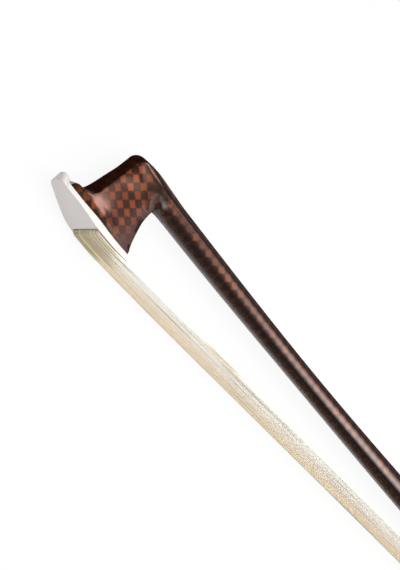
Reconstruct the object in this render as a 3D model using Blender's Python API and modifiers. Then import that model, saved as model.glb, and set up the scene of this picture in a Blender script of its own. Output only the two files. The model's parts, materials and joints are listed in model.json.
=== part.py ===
"""Viola bow: woven composite stick and head, hair, frog and tightening screw.

The bow lies on its side. +X runs along the handle from the button to the head, +Y from the stick towards the
hair, and +Z across the bow. The origin is the middle of the button's end face. It lies on the screw's axis,
and every piece that turns or slides has its own origin there. All sizes are in metres.
"""

import math

import bmesh
import bpy
from mathutils import Matrix, Vector

# Clearance between pieces that touch
GAP = 0.0003

# Hair line and overall reach
HAIR_HEIGHT = 0.02345
HAIR_THICKNESS = 0.0006
HEEL_DISTANCE = 0.722

# Button
BUTTON_LENGTH = 0.0155
BUTTON_FLATS = 0.0092
BUTTON_RING_DIAMETER = 0.0090
BUTTON_RING_LENGTH = 0.0042
BUTTON_RING_WALL = 0.0005
BUTTON_EYE_DIAMETER = 0.0052
BUTTON_EYE_THICKNESS = 0.0013

# Screw and the bore it runs in
SCREW_DIAMETER = 0.0030
SCREW_END = 0.098
BORE_END = 0.110
NIPPLE_DIAMETER = 0.0064
NIPPLE_LENGTH = 0.0018

# Stick
HANDLE_FLATS = 0.0090
CHAMFER = 0.0004
OCTAGON_END = 0.130
ROUND_START = 0.160
# Diameters at even shares of the way from the handle's round part to the throat
TAPER = (0.0088, 0.0087, 0.0084, 0.0081, 0.0078, 0.0075, 0.0070, 0.0064, 0.00565, 0.0066)
CAMBER_START = 0.095
CAMBER_PEAK_PLACE = 0.472
CAMBER_PEAK = 0.0165
HEAD_TURN = math.radians(6.56)
STICK_RINGS = 36
RING_HALF = 16

# Head, in its own frame: x towards the tip along the stick, d towards the hair, from the middle of the heel.
# Rows from the throat to the plate: back (x, d), front (x, d), half width at the back, half width where the
# front facet starts, the facet's share of the depth, squareness, likeness to the plate's outline, sag
HEAD_SECTIONS = (
    (-0.0060, -0.01765, -0.0060, -0.02425, 0.00330, 0.0033, 0.25, 0.00, 0.00, 0.00),
    (-0.0026, -0.01762, -0.0005, -0.02460, 0.00335, 0.0032, 0.25, 0.10, 0.00, 0.00),
    (-0.0004, -0.01755, 0.0042, -0.02495, 0.00340, 0.0031, 0.22, 0.35, 0.00, 0.00),
    (0.0010, -0.01695, 0.0083, -0.02500, 0.00350, 0.0030, 0.20, 0.70, 0.00, 0.00),
    (0.0019, -0.01580, 0.0116, -0.02430, 0.00360, 0.0030, 0.17, 0.95, 0.00, 0.00),
    (0.0022, -0.01430, 0.0135, -0.02260, 0.00370, 0.0030, 0.15, 1.00, 0.00, 0.00),
    (0.0023, -0.01260, 0.0142, -0.02040, 0.00380, 0.0030, 0.14, 1.00, 0.00, 0.00),
    (0.0023, -0.01060, 0.0151, -0.01700, 0.00400, 0.0030, 0.13, 1.00, 0.05, 0.00),
    (0.0022, -0.00840, 0.0164, -0.01330, 0.00430, 0.0031, 0.12, 1.00, 0.15, 0.00),
    (0.0020, -0.00620, 0.0178, -0.00930, 0.00455, 0.0032, 0.11, 1.00, 0.35, 0.10),
    (0.0017, -0.00430, 0.0192, -0.00640, 0.00475, 0.0032, 0.10, 1.00, 0.60, 0.35),
    (0.0014, -0.00300, 0.0216, -0.00495, 0.00490, 0.0030, 0.08, 1.00, 0.85, 0.70),
    (0.0011, -0.00225, 0.0242, -0.00440, 0.00500, 0.0028, 0.05, 1.00, 1.00, 1.00),
)
HEAD_RINGS_PER_SECTION = 2
HEAD_FOOT_START = 0.0010
HEAD_FOOT_END = 0.0248
CHEEK_BELLY = 0.0001
# Points of the half outline that lie on its flat back and on its front facet
BACK_POINTS = 3
FACET_POINTS = 3

# Tip plate
PLATE_LENGTH = 0.0273
PLATE_WIDEST = 0.0105
PLATE_HALF_WIDTH = 0.0053
PLATE_HEEL_HALF_WIDTH = 0.0050
PLATE_NARROWING = 12.0
PLATE_CROWN_PLACE = 0.010
PLATE_CROWN = 0.00066
PLATE_CURVE = 6.7
PLATE_HEEL_THICKNESS = 0.00145
PLATE_THICKENING = 0.03
PLATE_HEEL_RAKE = 0.0010
BEAK_START = 0.0251
BEAK_TOP_X = 0.0268
BEAK_TOP_D = -0.0040
BEAK_ROUND = 0.0012
# Width of the beak's blunt end as a share of its width where it starts to round
BEAK_END_SHARE = 0.45

# Mortise, plug and knot in the head
TIP_MORTISE_START = 0.0040
TIP_MORTISE_END = 0.0117
TIP_MORTISE_DEPTH = 0.0070
TIP_MORTISE_HALF_WIDTH = 0.0049
TIP_MORTISE_HALF_FLOOR = 0.0034
TIP_PLUG_DEPTH = 0.0036

# Hair: half widths where it leaves the head, on the heel, past the head and in the ferrule
HAIR_HALF_EXIT = 0.0045
HAIR_HALF_HEEL = 0.0050
HAIR_HALF_HEAD = 0.0054
HAIR_HALF_FERRULE = 0.0061
HAIR_SPREAD = 0.025
HAIR_BEND = 0.0006
# Where the hair has sunk from the ferrule into the frog's channel, behind the ferrule
HAIR_STEP = 0.004

# Grip and winding
FROG_TO_GRIP = 0.0025
GRIP_LENGTH = 0.028
GRIP_THICKNESS = 0.0012
WINDING_LENGTH = 0.070
WINDING_THICKNESS = 0.0004

# Frog
FROG_REAR = 0.0225
FROG_LENGTH = 0.048
FROG_HALF_WIDTH_TOP = 0.0050
FROG_HALF_WIDTH_HEEL = 0.0061
FROG_CHEEK_TOP = 0.0034
FROG_FLARE_START = 0.0145
FROG_EDGE = 0.0005
HEEL_RADIUS = 0.0050
PROJECTION_SETBACK = 0.0080
THROAT_RADIUS = 0.0051
THROAT_SETBACK = 0.0109
# Depth of the throat's centre from the ferrule's middle
THROAT_DEPTH = 0.0113
UNDERSLIDE_THICKNESS = 0.0005

# Ferrule and its wedge
FERRULE_LENGTH = 0.0125
FERRULE_WALL = 0.0005
FERRULE_HALF_WIDTH = 0.0070
FERRULE_SIDE = 0.0012
WEDGE_THICKNESS = 0.0014
WEDGE_REAR_THICKNESS = 0.0010
WEDGE_LENGTH = 0.0080
TONGUE_SETBACK = 0.0007
TONGUE_DROP = 0.0001

# Slide, mortise and plug in the frog
PEARL_THICKNESS = 0.0010
BACKING_THICKNESS = 0.0010
SLIDE_HALF_WIDTH = 0.0039
SLIDE_UNDERCUT = 0.0007
CHANNEL_HALF_WIDTH = 0.0038
FROG_MORTISE_SETBACK = 0.0135
FROG_MORTISE_LENGTH = 0.0100
FROG_MORTISE_DEPTH = 0.0074
FROG_MORTISE_HALF_WIDTH = 0.0034
FROG_PLUG_DEPTH = 0.0042

# Heel plates and pins
HEEL_PLATE_THICKNESS = 0.0006
HEEL_PLATE_REACH = 0.0085
HEEL_PLATE_SETDOWN = 0.0008
HEEL_PLATE_SEAM = 0.0188
PIN_DIAMETER = 0.0010
PIN_LENGTH = 0.0022
HEEL_PIN_SPACING = 0.0060
UNDERSLIDE_PIN_LENGTH = 0.0015
UNDERSLIDE_PIN_MARGIN = 0.0045

# Side eyes
EYE_SETBACK = 0.0195
EYE_HEIGHT = 0.0098
EYE_RING_DIAMETER = 0.0086
EYE_RING_WALL = 0.0010
EYE_THICKNESS = 0.0006

# Eyelet and its slot in the stick
EYELET_SETBACK = 0.0215
EYELET_LENGTH = 0.0050
EYELET_DIAMETER = 0.0046
EYELET_POST_DIAMETER = 0.0032
EYELET_POST_DEPTH = 0.0050
TIGHTEN_TRAVEL = 0.00491
LOOSEN_TRAVEL = 0.00141
SLOT_MARGIN = 0.0008

# Places that follow from the sizes above
BUTT = BUTTON_LENGTH + GAP
HANDLE_RADIUS = HANDLE_FLATS / 2
BORE_RADIUS = SCREW_DIAMETER / 2 + GAP
FROG_FRONT = FROG_REAR + FROG_LENGTH
FERRULE_REAR = FROG_FRONT - FERRULE_LENGTH
HAIR_INNER = HAIR_HEIGHT - HAIR_THICKNESS / 2
HAIR_OUTER = HAIR_HEIGHT + HAIR_THICKNESS / 2
FROG_FACE = HAIR_OUTER + GAP + FERRULE_WALL
FERRULE_CENTRE = FROG_FACE - FERRULE_SIDE
FLAT_SHARE = math.tan(math.pi / 8)
PEARL_INNER = FROG_FACE - PEARL_THICKNESS
BACKING_OUTER = PEARL_INNER - GAP
BACKING_INNER = BACKING_OUTER - BACKING_THICKNESS
CHANNEL_HAIR = BACKING_INNER - GAP - HAIR_THICKNESS / 2
CHANNEL_FLOOR = CHANNEL_HAIR - HAIR_THICKNESS / 2 - GAP
FROG_MORTISE_START = FROG_REAR + FROG_MORTISE_SETBACK
FROG_MORTISE_END = FROG_MORTISE_START + FROG_MORTISE_LENGTH
HAIR_SLOT = HAIR_THICKNESS + 2 * GAP
GRIP_START = FROG_FRONT - PROJECTION_SETBACK + FROG_TO_GRIP
WINDING_START = GRIP_START + GRIP_LENGTH + GAP
EYELET_PLACE = FROG_REAR + EYELET_SETBACK
HEEL_HEIGHT = HAIR_INNER - GAP
TRACK_FLOOR = HANDLE_RADIUS + 2 * GAP + UNDERSLIDE_THICKNESS
HEEL_PLATE_TOP = TRACK_FLOOR + HEEL_PLATE_SETDOWN
HEEL_OVERCUT = HEEL_RADIUS / 3
SLIDE_START = FROG_REAR + HEEL_PLATE_REACH + GAP
EYE_PLACE = FROG_REAR + EYE_SETBACK
LINING_TOP = HANDLE_RADIUS + GAP
PROJECTION_TIP = FROG_FRONT - PROJECTION_SETBACK
HEAD_SHAFT_X = HEAD_SECTIONS[0][0]
HEAD_SHAFT_D = (HEAD_SECTIONS[0][1] + HEAD_SECTIONS[0][3]) / 2
BEAK_END_X = PLATE_LENGTH + GAP
BEAK_SIDE_END = PLATE_LENGTH - BEAK_ROUND
PLUG_SIDE_GAP = 1.2 * GAP
BARREL_CORE = BUTTON_RING_DIAMETER / 2 - BUTTON_RING_WALL - GAP
BARREL_START = BUTTON_RING_WALL + GAP
BARREL_END = BUTT - NIPPLE_LENGTH - GAP
SCREW_START = BARREL_START + BUTTON_EYE_THICKNESS + 2 * GAP
HEEL_PIN_X = FROG_REAR + HEEL_RADIUS + (HEEL_PLATE_REACH - HEEL_RADIUS) * 0.4
HEEL_PIN_Y = (HEEL_PLATE_TOP + HEEL_PLATE_SEAM) / 2
LINING_PIN_REAR = FROG_REAR + UNDERSLIDE_PIN_MARGIN
LINING_PIN_FRONT = PROJECTION_TIP - UNDERSLIDE_PIN_MARGIN
LINING_PIN_POINT = LINING_TOP + UNDERSLIDE_PIN_LENGTH
# Head and point of each small pin
PINS = {
    "heel_pin_1": (
        (HEEL_PIN_X, FROG_FACE, HEEL_PIN_SPACING / 2),
        (HEEL_PIN_X, FROG_FACE - PIN_LENGTH, HEEL_PIN_SPACING / 2),
    ),
    "heel_pin_2": (
        (HEEL_PIN_X, FROG_FACE, -HEEL_PIN_SPACING / 2),
        (HEEL_PIN_X, FROG_FACE - PIN_LENGTH, -HEEL_PIN_SPACING / 2),
    ),
    "heel_pin_3": ((FROG_REAR, HEEL_PIN_Y, 0), (FROG_REAR + PIN_LENGTH, HEEL_PIN_Y, 0)),
    "underslide_pin_rear": ((LINING_PIN_REAR, LINING_TOP, 0), (LINING_PIN_REAR, LINING_PIN_POINT, 0)),
    "underslide_pin_front": ((LINING_PIN_FRONT, LINING_TOP, 0), (LINING_PIN_FRONT, LINING_PIN_POINT, 0)),
}

parts = bpy.data.collections.new("viola_bow")
cutters = bpy.data.collections.new("cutters")


def clear_scene():
    for old in list(bpy.data.objects):
        bpy.data.objects.remove(old, do_unlink=True)
    for collection in (parts, cutters):
        bpy.context.scene.collection.children.link(collection)


# Curves of the stick and the head


def smoothstep(t):
    t = min(max(t, 0.0), 1.0)
    return t * t * (3 - 2 * t)


def mix(a, b, t):
    return a + (b - a) * t


def through(rows, t):
    """The smooth curve through the rows, at share t of the way along them."""
    place = t * (len(rows) - 1)
    i = min(int(place), len(rows) - 2)
    u = place - i
    before = rows[max(i - 1, 0)]
    start = rows[i]
    end = rows[i + 1]
    after = rows[min(i + 2, len(rows) - 1)]
    values = []
    for p, a, b, n in zip(before, start, end, after):
        bend = (b - p) * u + (2 * p - 5 * a + 4 * b - n) * u * u + (3 * a - p - 3 * b + n) * u ** 3
        values.append(a + bend / 2)
    return values


def from_head(x, d):
    """World x and y of a point in the head's own frame."""
    c = math.cos(HEAD_TURN)
    s = math.sin(HEAD_TURN)
    return HEEL_DISTANCE + x * c + d * s, HEEL_HEIGHT - x * s + d * c


THROAT_X, THROAT_Y = from_head(HEAD_SHAFT_X, HEAD_SHAFT_D)


def camber(x):
    """Height and slope of the stick's middle line."""
    if x <= CAMBER_START:
        return 0.0, 0.0
    if x <= CAMBER_PEAK_PLACE:
        run = CAMBER_PEAK_PLACE - CAMBER_START
        t = (x - CAMBER_START) / run
        return CAMBER_PEAK * smoothstep(t), CAMBER_PEAK * 6 * t * (1 - t) / run
    run = THROAT_X - CAMBER_PEAK_PLACE
    drop = CAMBER_PEAK - THROAT_Y
    end_slope = math.tan(HEAD_TURN)
    t = (x - CAMBER_PEAK_PLACE) / run
    height = CAMBER_PEAK - drop * smoothstep(t) - end_slope * run * (t ** 3 - t * t)
    slope = -drop * 6 * t * (1 - t) / run - end_slope * (3 * t * t - 2 * t)
    return height, slope


def stick_radius(x):
    if x <= OCTAGON_END:
        return HANDLE_RADIUS
    if x <= ROUND_START:
        share = (x - OCTAGON_END) / (ROUND_START - OCTAGON_END)
        return mix(HANDLE_RADIUS, TAPER[0] / 2, share)
    share = (x - ROUND_START) / (THROAT_X - ROUND_START)
    rows = [(diameter,) for diameter in TAPER]
    return through(rows, min(share, 1.0))[0] / 2


def round_outline(x, radius):
    """Half of a round section about the handle's axis, from the hair side over +Z to the top."""
    turns = [math.pi * k / RING_HALF for k in range(RING_HALF + 1)]
    return [(x, radius * math.cos(a), radius * math.sin(a)) for a in turns]


def octagon_outline(x, apothem):
    """Half of an octagonal section with a flat towards the hair."""
    outline = []
    for k in range(RING_HALF + 1):
        a = math.pi * k / RING_HALF
        radius = apothem / math.cos((a + math.pi / 8) % (math.pi / 4) - math.pi / 8)
        outline.append((x, radius * math.cos(a), radius * math.sin(a)))
    return outline


def stick_outline(x, growth=0.0):
    """Half of the stick's section, square to its middle line, grown by a distance."""
    height, slope = camber(x)
    to_hair = Vector((-slope, 1)).normalized()
    reach = stick_radius(x) + growth
    roundness = smoothstep((x - OCTAGON_END) / (ROUND_START - OCTAGON_END))
    outline = []
    for flat, full in zip(octagon_outline(0, reach), round_outline(0, reach)):
        across = mix(flat[1], full[1], roundness)
        aside = mix(flat[2], full[2], roundness)
        outline.append((x + to_hair.x * across, height + to_hair.y * across, aside))
    return outline


# The plate's curves, in the head's frame


def plate_face(x):
    return PLATE_CROWN - PLATE_CURVE * (x - PLATE_CROWN_PLACE) ** 2


def plate_back(x):
    return plate_face(x) - PLATE_HEEL_THICKNESS - PLATE_THICKENING * x


def plate_half_width(x):
    if x < PLATE_WIDEST:
        share = (PLATE_WIDEST - x) / PLATE_WIDEST
        return mix(PLATE_HALF_WIDTH, PLATE_HEEL_HALF_WIDTH, share ** 2)
    return PLATE_HALF_WIDTH - PLATE_NARROWING * (x - PLATE_WIDEST) ** 2


def head_section(row):
    """Half outline of one section of the head, from the middle of its back to its front ridge."""
    back_x, back_d, front_x, front_d, back, front, facet, square, plate, sag = row
    outline = []
    facet_start = RING_HALF - FACET_POINTS
    for k in range(RING_HALF + 1):
        turn = math.pi * k / RING_HALF
        if k <= BACK_POINTS:
            depth = 0.0
            width = back * k / BACK_POINTS
        elif k <= facet_start:
            s = (k - BACK_POINTS) / (facet_start - BACK_POINTS)
            depth = s * (1 - facet)
            cheek = mix(back, front, s) + CHEEK_BELLY * 4 * s * (1 - s)
            width = mix(cheek, plate_half_width(mix(back_x, front_x, depth)), plate)
        else:
            s = (k - facet_start) / FACET_POINTS
            edge = mix(front, plate_half_width(mix(back_x, front_x, 1 - facet)), plate)
            depth = 1 - facet + facet * s
            width = edge * (1 - s)
        depth = mix((1 - math.cos(turn)) / 2, depth, square)
        width = mix(back * math.sin(turn), width, square)
        x = mix(back_x, front_x, depth)
        share = (x - HEAD_FOOT_START) / (HEAD_FOOT_END - HEAD_FOOT_START)
        foot_chord = mix(plate_back(HEAD_FOOT_START), plate_back(HEAD_FOOT_END), share)
        d = mix(back_d, front_d, depth) + sag * (plate_back(x) - foot_chord)
        outline.append((*from_head(x, d), width))
    return outline


def head_foot():
    """The head's last section, a clearance away from the back of the plate."""
    outline = []
    facet_start = RING_HALF - 2
    for k in range(RING_HALF + 1):
        if k <= BACK_POINTS:
            x = HEAD_FOOT_START
            width = plate_half_width(x) * k / BACK_POINTS
        elif k <= facet_start:
            share = (k - BACK_POINTS) / (facet_start - BACK_POINTS)
            x = mix(HEAD_FOOT_START, HEAD_FOOT_END, share)
            width = plate_half_width(x)
        else:
            x = HEAD_FOOT_END + GAP / 2 * (k - facet_start)
            width = plate_half_width(x) * (RING_HALF - k) / 2
        outline.append((*from_head(x, plate_back(x) - GAP), width))
    return outline


# Modelling helpers


def material(name, colour, roughness, metallic=0.0):
    new = bpy.data.materials.new(name)
    new.use_nodes = True
    shader = new.node_tree.nodes["Principled BSDF"]
    shader.inputs["Base Color"].default_value = (*colour, 1)
    shader.inputs["Roughness"].default_value = roughness
    shader.inputs["Metallic"].default_value = metallic
    new.diffuse_color = (*colour, 1)
    return new


def add_object(name, mesh, finish=None, matrix=None):
    """A part with its finish, or a cutter when no finish is given."""
    obj = bpy.data.objects.new(name, mesh)
    if matrix is not None:
        obj.matrix_world = matrix
    if finish is None:
        cutters.objects.link(obj)
        obj.hide_render = True
        obj.display_type = "WIRE"
        return obj
    parts.objects.link(obj)
    mesh.materials.clear()
    mesh.materials.append(finish)
    return obj


def add_bmesh(name, bm, finish=None, smooth=None):
    bmesh.ops.recalc_face_normals(bm, faces=bm.faces)
    mesh = bpy.data.meshes.new(name)
    bm.to_mesh(mesh)
    bm.free()
    if smooth is not None:
        mesh.shade_smooth()
        mesh.set_sharp_from_angle(angle=smooth)
    return add_object(name, mesh, finish)


def add_ring(bm, outline):
    """The whole section: the half outline over +Z and its mirror image over -Z."""
    back = [(x, y, -z) for x, y, z in reversed(outline[1:-1])]
    return [bm.verts.new(point) for point in [*outline, *back]]


def bridge(bm, ring, following):
    for k, vertex in enumerate(ring):
        after = (k + 1) % len(ring)
        bm.faces.new((vertex, ring[after], following[after], following[k]))


def cap(bm, ring):
    """Closes a section with strips that run straight across the bow, a flat end being part of its strip."""
    count = len(ring)
    half = count // 2
    first = 1
    while (ring[first].co - ring[0].co).xy.length < GAP / 100:
        first += 1
    last = half - 1
    while (ring[last].co - ring[half].co).xy.length < GAP / 100:
        last -= 1
    if first > last:
        bm.faces.new(ring)
        return
    bm.faces.new(ring[: first + 1] + ring[count - first :])
    for k in range(first, last):
        bm.faces.new((ring[k], ring[k + 1], ring[count - k - 1], ring[count - k]))
    bm.faces.new(ring[last : count - last + 1])


def loft(name, outlines, finish=None, hollow=(), smooth=math.radians(28)):
    """A solid through the half outlines; a second list of half outlines makes it a sleeve."""
    bm = bmesh.new()
    outer = [add_ring(bm, outline) for outline in outlines]
    for ring, following in zip(outer, outer[1:]):
        bridge(bm, ring, following)
    if hollow:
        inner = [add_ring(bm, outline) for outline in hollow]
        for ring, following in zip(inner, inner[1:]):
            bridge(bm, ring, following)
        bridge(bm, outer[0], inner[0])
        bridge(bm, outer[-1], inner[-1])
    else:
        cap(bm, outer[0])
        cap(bm, outer[-1])
    return add_bmesh(name, bm, finish, smooth)


def box(name, low, high, finish=None):
    bm = bmesh.new()
    size = Vector(high) - Vector(low)
    place = Matrix.Translation((Vector(low) + Vector(high)) / 2) @ Matrix.Diagonal((*size, 1))
    bmesh.ops.create_cube(bm, size=1, matrix=place)
    return add_bmesh(name, bm, finish)


def wedge(name, low, high, far_share, axis, finish=None, turn=None):
    """A box whose width across the bow narrows, by far_share, towards the low end of the axis."""
    piece = box(name, low, high, finish)
    middle = (low[axis] + high[axis]) / 2
    for vertex in piece.data.vertices:
        if vertex.co[axis] < middle:
            vertex.co.z *= far_share
    if turn is not None:
        piece.data.transform(turn)
    return piece


def cylinder(name, radius, start, end, finish=None, sides=32):
    """A plain cylinder from one point to another."""
    start = Vector(start)
    along = Vector(end) - start
    turn = Vector((0, 0, 1)).rotation_difference(along).to_matrix().to_4x4()
    turn = turn @ Matrix.Rotation(math.pi / sides, 4, "Z")
    bm = bmesh.new()
    bmesh.ops.create_cone(
        bm,
        cap_ends=True,
        segments=sides,
        radius1=radius,
        radius2=radius,
        depth=along.length,
        matrix=Matrix.Translation(start + along / 2) @ turn,
    )
    return add_bmesh(name, bm, finish, math.radians(40))


def turned(name, profile, axis_height=0.0, finish=None, steps=32):
    """A profile of (place along the bow, radius) points, closed, turned about a line along the bow."""
    bm = bmesh.new()
    points = [bm.verts.new((radius, 0, along)) for along, radius in profile]
    for k, point in enumerate(points):
        bm.edges.new((point, points[(k + 1) % len(points)]))
    mesh = bpy.data.meshes.new(name)
    bm.to_mesh(mesh)
    bm.free()
    along_bow = Matrix.Translation((0, axis_height, 0)) @ Matrix.Rotation(math.pi / 2, 4, "Y")
    obj = add_object(name, mesh, finish, along_bow)
    screw = obj.modifiers.new("turned", "SCREW")
    screw.axis = "Z"
    screw.angle = 2 * math.pi
    screw.steps = steps
    screw.render_steps = steps
    screw.use_merge_vertices = True
    screw.merge_threshold = 0.00001
    screw.use_smooth_shade = False
    return obj


def sheet_outline(name, outlines, thickness, matrix, finish=None):
    """Flat closed outlines, holes included, given a thickness; the outline's x and y go through the matrix."""
    curve = bpy.data.curves.new(name, "CURVE")
    curve.dimensions = "2D"
    curve.fill_mode = "BOTH"
    curve.extrude = thickness / 2
    for outline in outlines:
        spline = curve.splines.new("POLY")
        spline.points.add(len(outline) - 1)
        spline.use_cyclic_u = True
        for point, (x, y) in zip(spline.points, outline):
            point.co = (x, y, 0, 1)
    guide = bpy.data.objects.new(name + "_outline", curve)
    cutters.objects.link(guide)
    bpy.context.view_layer.update()
    evaluated = guide.evaluated_get(bpy.context.evaluated_depsgraph_get())
    mesh = bpy.data.meshes.new_from_object(evaluated)
    bpy.data.objects.remove(guide)
    bm = bmesh.new()
    bm.from_mesh(mesh)
    bmesh.ops.remove_doubles(bm, verts=bm.verts, dist=0.000001)
    bmesh.ops.transform(bm, matrix=matrix, verts=bm.verts)
    bmesh.ops.recalc_face_normals(bm, faces=bm.faces)
    bm.to_mesh(mesh)
    bm.free()
    mesh.name = name
    return add_object(name, mesh, finish)


def across_bow(place=0.0):
    """Outlines drawn in side view, with their thickness across the bow."""
    return Matrix.Translation((0, 0, place))


def along_bow(place):
    """Outlines drawn as (y, z) sections, with their thickness along the bow."""
    turn = Matrix(((0, 0, 1, 0), (1, 0, 0, 0), (0, 1, 0, 0), (0, 0, 0, 1)))
    return Matrix.Translation((place, 0, 0)) @ turn


def head_matrix():
    x, y = from_head(0, 0)
    return Matrix.Translation((x, y, 0)) @ Matrix.Rotation(-HEAD_TURN, 4, "Z")


def boolean(target, tool, operation="DIFFERENCE"):
    modifier = target.modifiers.new(tool.name, "BOOLEAN")
    modifier.operation = operation
    modifier.solver = "EXACT"
    modifier.object = tool


# Stick and head


def make_stick(weave):
    nipple = NIPPLE_DIAMETER / 2
    outlines = [
        round_outline(BUTT - NIPPLE_LENGTH, nipple),
        round_outline(BUTT, nipple),
        octagon_outline(BUTT, HANDLE_RADIUS - CHAMFER),
        octagon_outline(BUTT + CHAMFER, HANDLE_RADIUS),
    ]
    places = [OCTAGON_END, *(mix(OCTAGON_END, ROUND_START, s) for s in (0.25, 0.5, 0.75))]
    run = THROAT_X - ROUND_START
    places += [ROUND_START + run * k / STICK_RINGS for k in range(STICK_RINGS)]
    outlines += [stick_outline(x) for x in places]
    steps = (len(HEAD_SECTIONS) - 1) * HEAD_RINGS_PER_SECTION
    outlines += [head_section(through(HEAD_SECTIONS, k / steps)) for k in range(steps + 1)]
    outlines.append(head_foot())
    stick = loft("stick", outlines, weave)
    boolean(stick, cylinder("screw_bore", BORE_RADIUS, (0, 0, 0), (BORE_END, 0, 0)))
    boolean(stick, eyelet_slot())
    boolean(stick, tip_mortise("tip_mortise"))


def eyelet_slot():
    wide = EYELET_DIAMETER / 2 + GAP
    reach = EYELET_LENGTH / 2 + SLOT_MARGIN
    low = (EYELET_PLACE - reach - TIGHTEN_TRAVEL, -wide, -wide)
    high = (EYELET_PLACE + reach + LOOSEN_TRAVEL, HANDLE_FLATS, wide)
    return box("eyelet_slot", low, high)


def tip_mortise(name):
    """A pocket that narrows with depth, cut from outside the plate."""
    mouth = plate_face(TIP_MORTISE_END)
    above = 0.001
    floor = mouth - TIP_MORTISE_DEPTH
    slope = (TIP_MORTISE_HALF_WIDTH - TIP_MORTISE_HALF_FLOOR) / TIP_MORTISE_DEPTH
    wide = TIP_MORTISE_HALF_WIDTH + slope * above
    low = (TIP_MORTISE_START, floor, -wide)
    high = (TIP_MORTISE_END, mouth + above, wide)
    return wedge(name, low, high, TIP_MORTISE_HALF_FLOOR / wide, 1, turn=head_matrix())


def make_tip_plate(polymer):
    steps = 14
    face = [(BEAK_END_X * k / steps, plate_face(BEAK_END_X * k / steps)) for k in range(steps + 1)]
    back_places = [mix(BEAK_START, PLATE_HEEL_RAKE, k / steps) for k in range(steps + 1)]
    back = [(x, plate_back(x)) for x in back_places]
    beak = [(BEAK_TOP_X, BEAK_TOP_D), (BEAK_START, BEAK_TOP_D)]
    depth = 4 * PLATE_HALF_WIDTH
    plate = sheet_outline("tip_plate", [[*face, *beak, *back]], depth, head_matrix(), polymer)
    side = [(x, plate_half_width(x)) for x in (BEAK_SIDE_END * k / steps for k in range(steps + 1))]
    last_width = side[-1][1]
    for turn in (0.5, 0.8, 1.0):
        along = BEAK_SIDE_END + BEAK_ROUND * math.sin(turn * math.pi / 2)
        side.append((along, last_width * mix(BEAK_END_SHARE, 1, math.cos(turn * math.pi / 2))))
    side[0] = (-PLATE_HALF_WIDTH, side[0][1])
    plan = [*side, *((x, -z) for x, z in reversed(side))]
    to_plan = head_matrix() @ Matrix(((1, 0, 0, 0), (0, 0, -1, 0), (0, 1, 0, 0), (0, 0, 0, 1)))
    boolean(plate, sheet_outline("plate_plan", [plan], depth, to_plan), "INTERSECT")
    boolean(plate, tip_mortise("plate_mortise"))


def make_tip_plug(wood):
    mouth = plate_face(TIP_MORTISE_START) - GAP
    slope = (TIP_MORTISE_HALF_WIDTH - TIP_MORTISE_HALF_FLOOR) / TIP_MORTISE_DEPTH
    crown = plate_face(TIP_MORTISE_END)
    wide = TIP_MORTISE_HALF_WIDTH - slope * (crown - mouth) - PLUG_SIDE_GAP
    narrow = TIP_MORTISE_HALF_WIDTH - slope * (crown + TIP_PLUG_DEPTH) - PLUG_SIDE_GAP
    low = (TIP_MORTISE_START + GAP, -TIP_PLUG_DEPTH, -wide)
    high = (TIP_MORTISE_END - HAIR_SLOT, mouth, wide)
    wedge("tip_plug", low, high, narrow / wide, 1, wood, head_matrix())


def knot(name, low, high, finish, turn=None):
    """The tied, rounded end of the hair."""
    bm = bmesh.new()
    size = Vector(high) - Vector(low)
    place = Matrix.Translation((Vector(low) + Vector(high)) / 2) @ Matrix.Diagonal((*size, 1))
    if turn is not None:
        place = turn @ place
    bmesh.ops.create_uvsphere(bm, u_segments=20, v_segments=10, radius=0.5, matrix=place)
    return add_bmesh(name, bm, finish, math.radians(60))


def make_tip_knot(thread):
    floor = plate_face(TIP_MORTISE_END) - TIP_MORTISE_DEPTH
    wide = TIP_MORTISE_HALF_FLOOR - GAP
    low = (TIP_MORTISE_START + 2 * GAP, floor + GAP, -wide)
    high = (TIP_MORTISE_END - GAP, -TIP_PLUG_DEPTH - GAP, wide)
    knot("tip_hair_knot", low, high, thread, head_matrix())


# Hair


def ribbon_outline(place, lift, half_width):
    """Four-sided half section of the hair: place is on its middle, lift is half its thickness as a vector."""
    inner = place - lift
    outer = place + lift
    return [(*inner, 0.0), (*inner, half_width), (*outer, half_width), (*outer, 0.0)]


def tip_hair_route():
    """Middle points, outward directions and half widths from the head's mortise to the heel."""
    slot = TIP_MORTISE_END - GAP - HAIR_THICKNESS / 2
    corner = Vector((slot - HAIR_BEND, plate_face(slot - HAIR_BEND)))
    deep_half = TIP_MORTISE_HALF_FLOOR + GAP
    route = [(Vector((slot, -TIP_PLUG_DEPTH + GAP)), Vector((1, 0)), deep_half)]
    route.append((Vector((slot, corner.y)), Vector((1, 0)), HAIR_HALF_EXIT))
    for turn in (30, 60, 90):
        outward = Vector((math.cos(math.radians(turn)), math.sin(math.radians(turn))))
        route.append((corner + outward * HAIR_BEND, outward, HAIR_HALF_EXIT))
    lift = GAP + HAIR_THICKNESS / 2
    for share in (0.75, 0.5, 0.25, 0.0):
        x = corner.x * share
        outward = Vector((2 * PLATE_CURVE * (x - PLATE_CROWN_PLACE), 1)).normalized()
        half = mix(HAIR_HALF_HEEL, HAIR_HALF_EXIT, share)
        route.append((Vector((x, plate_face(x))) + outward * lift, outward, half))
    return route


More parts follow.
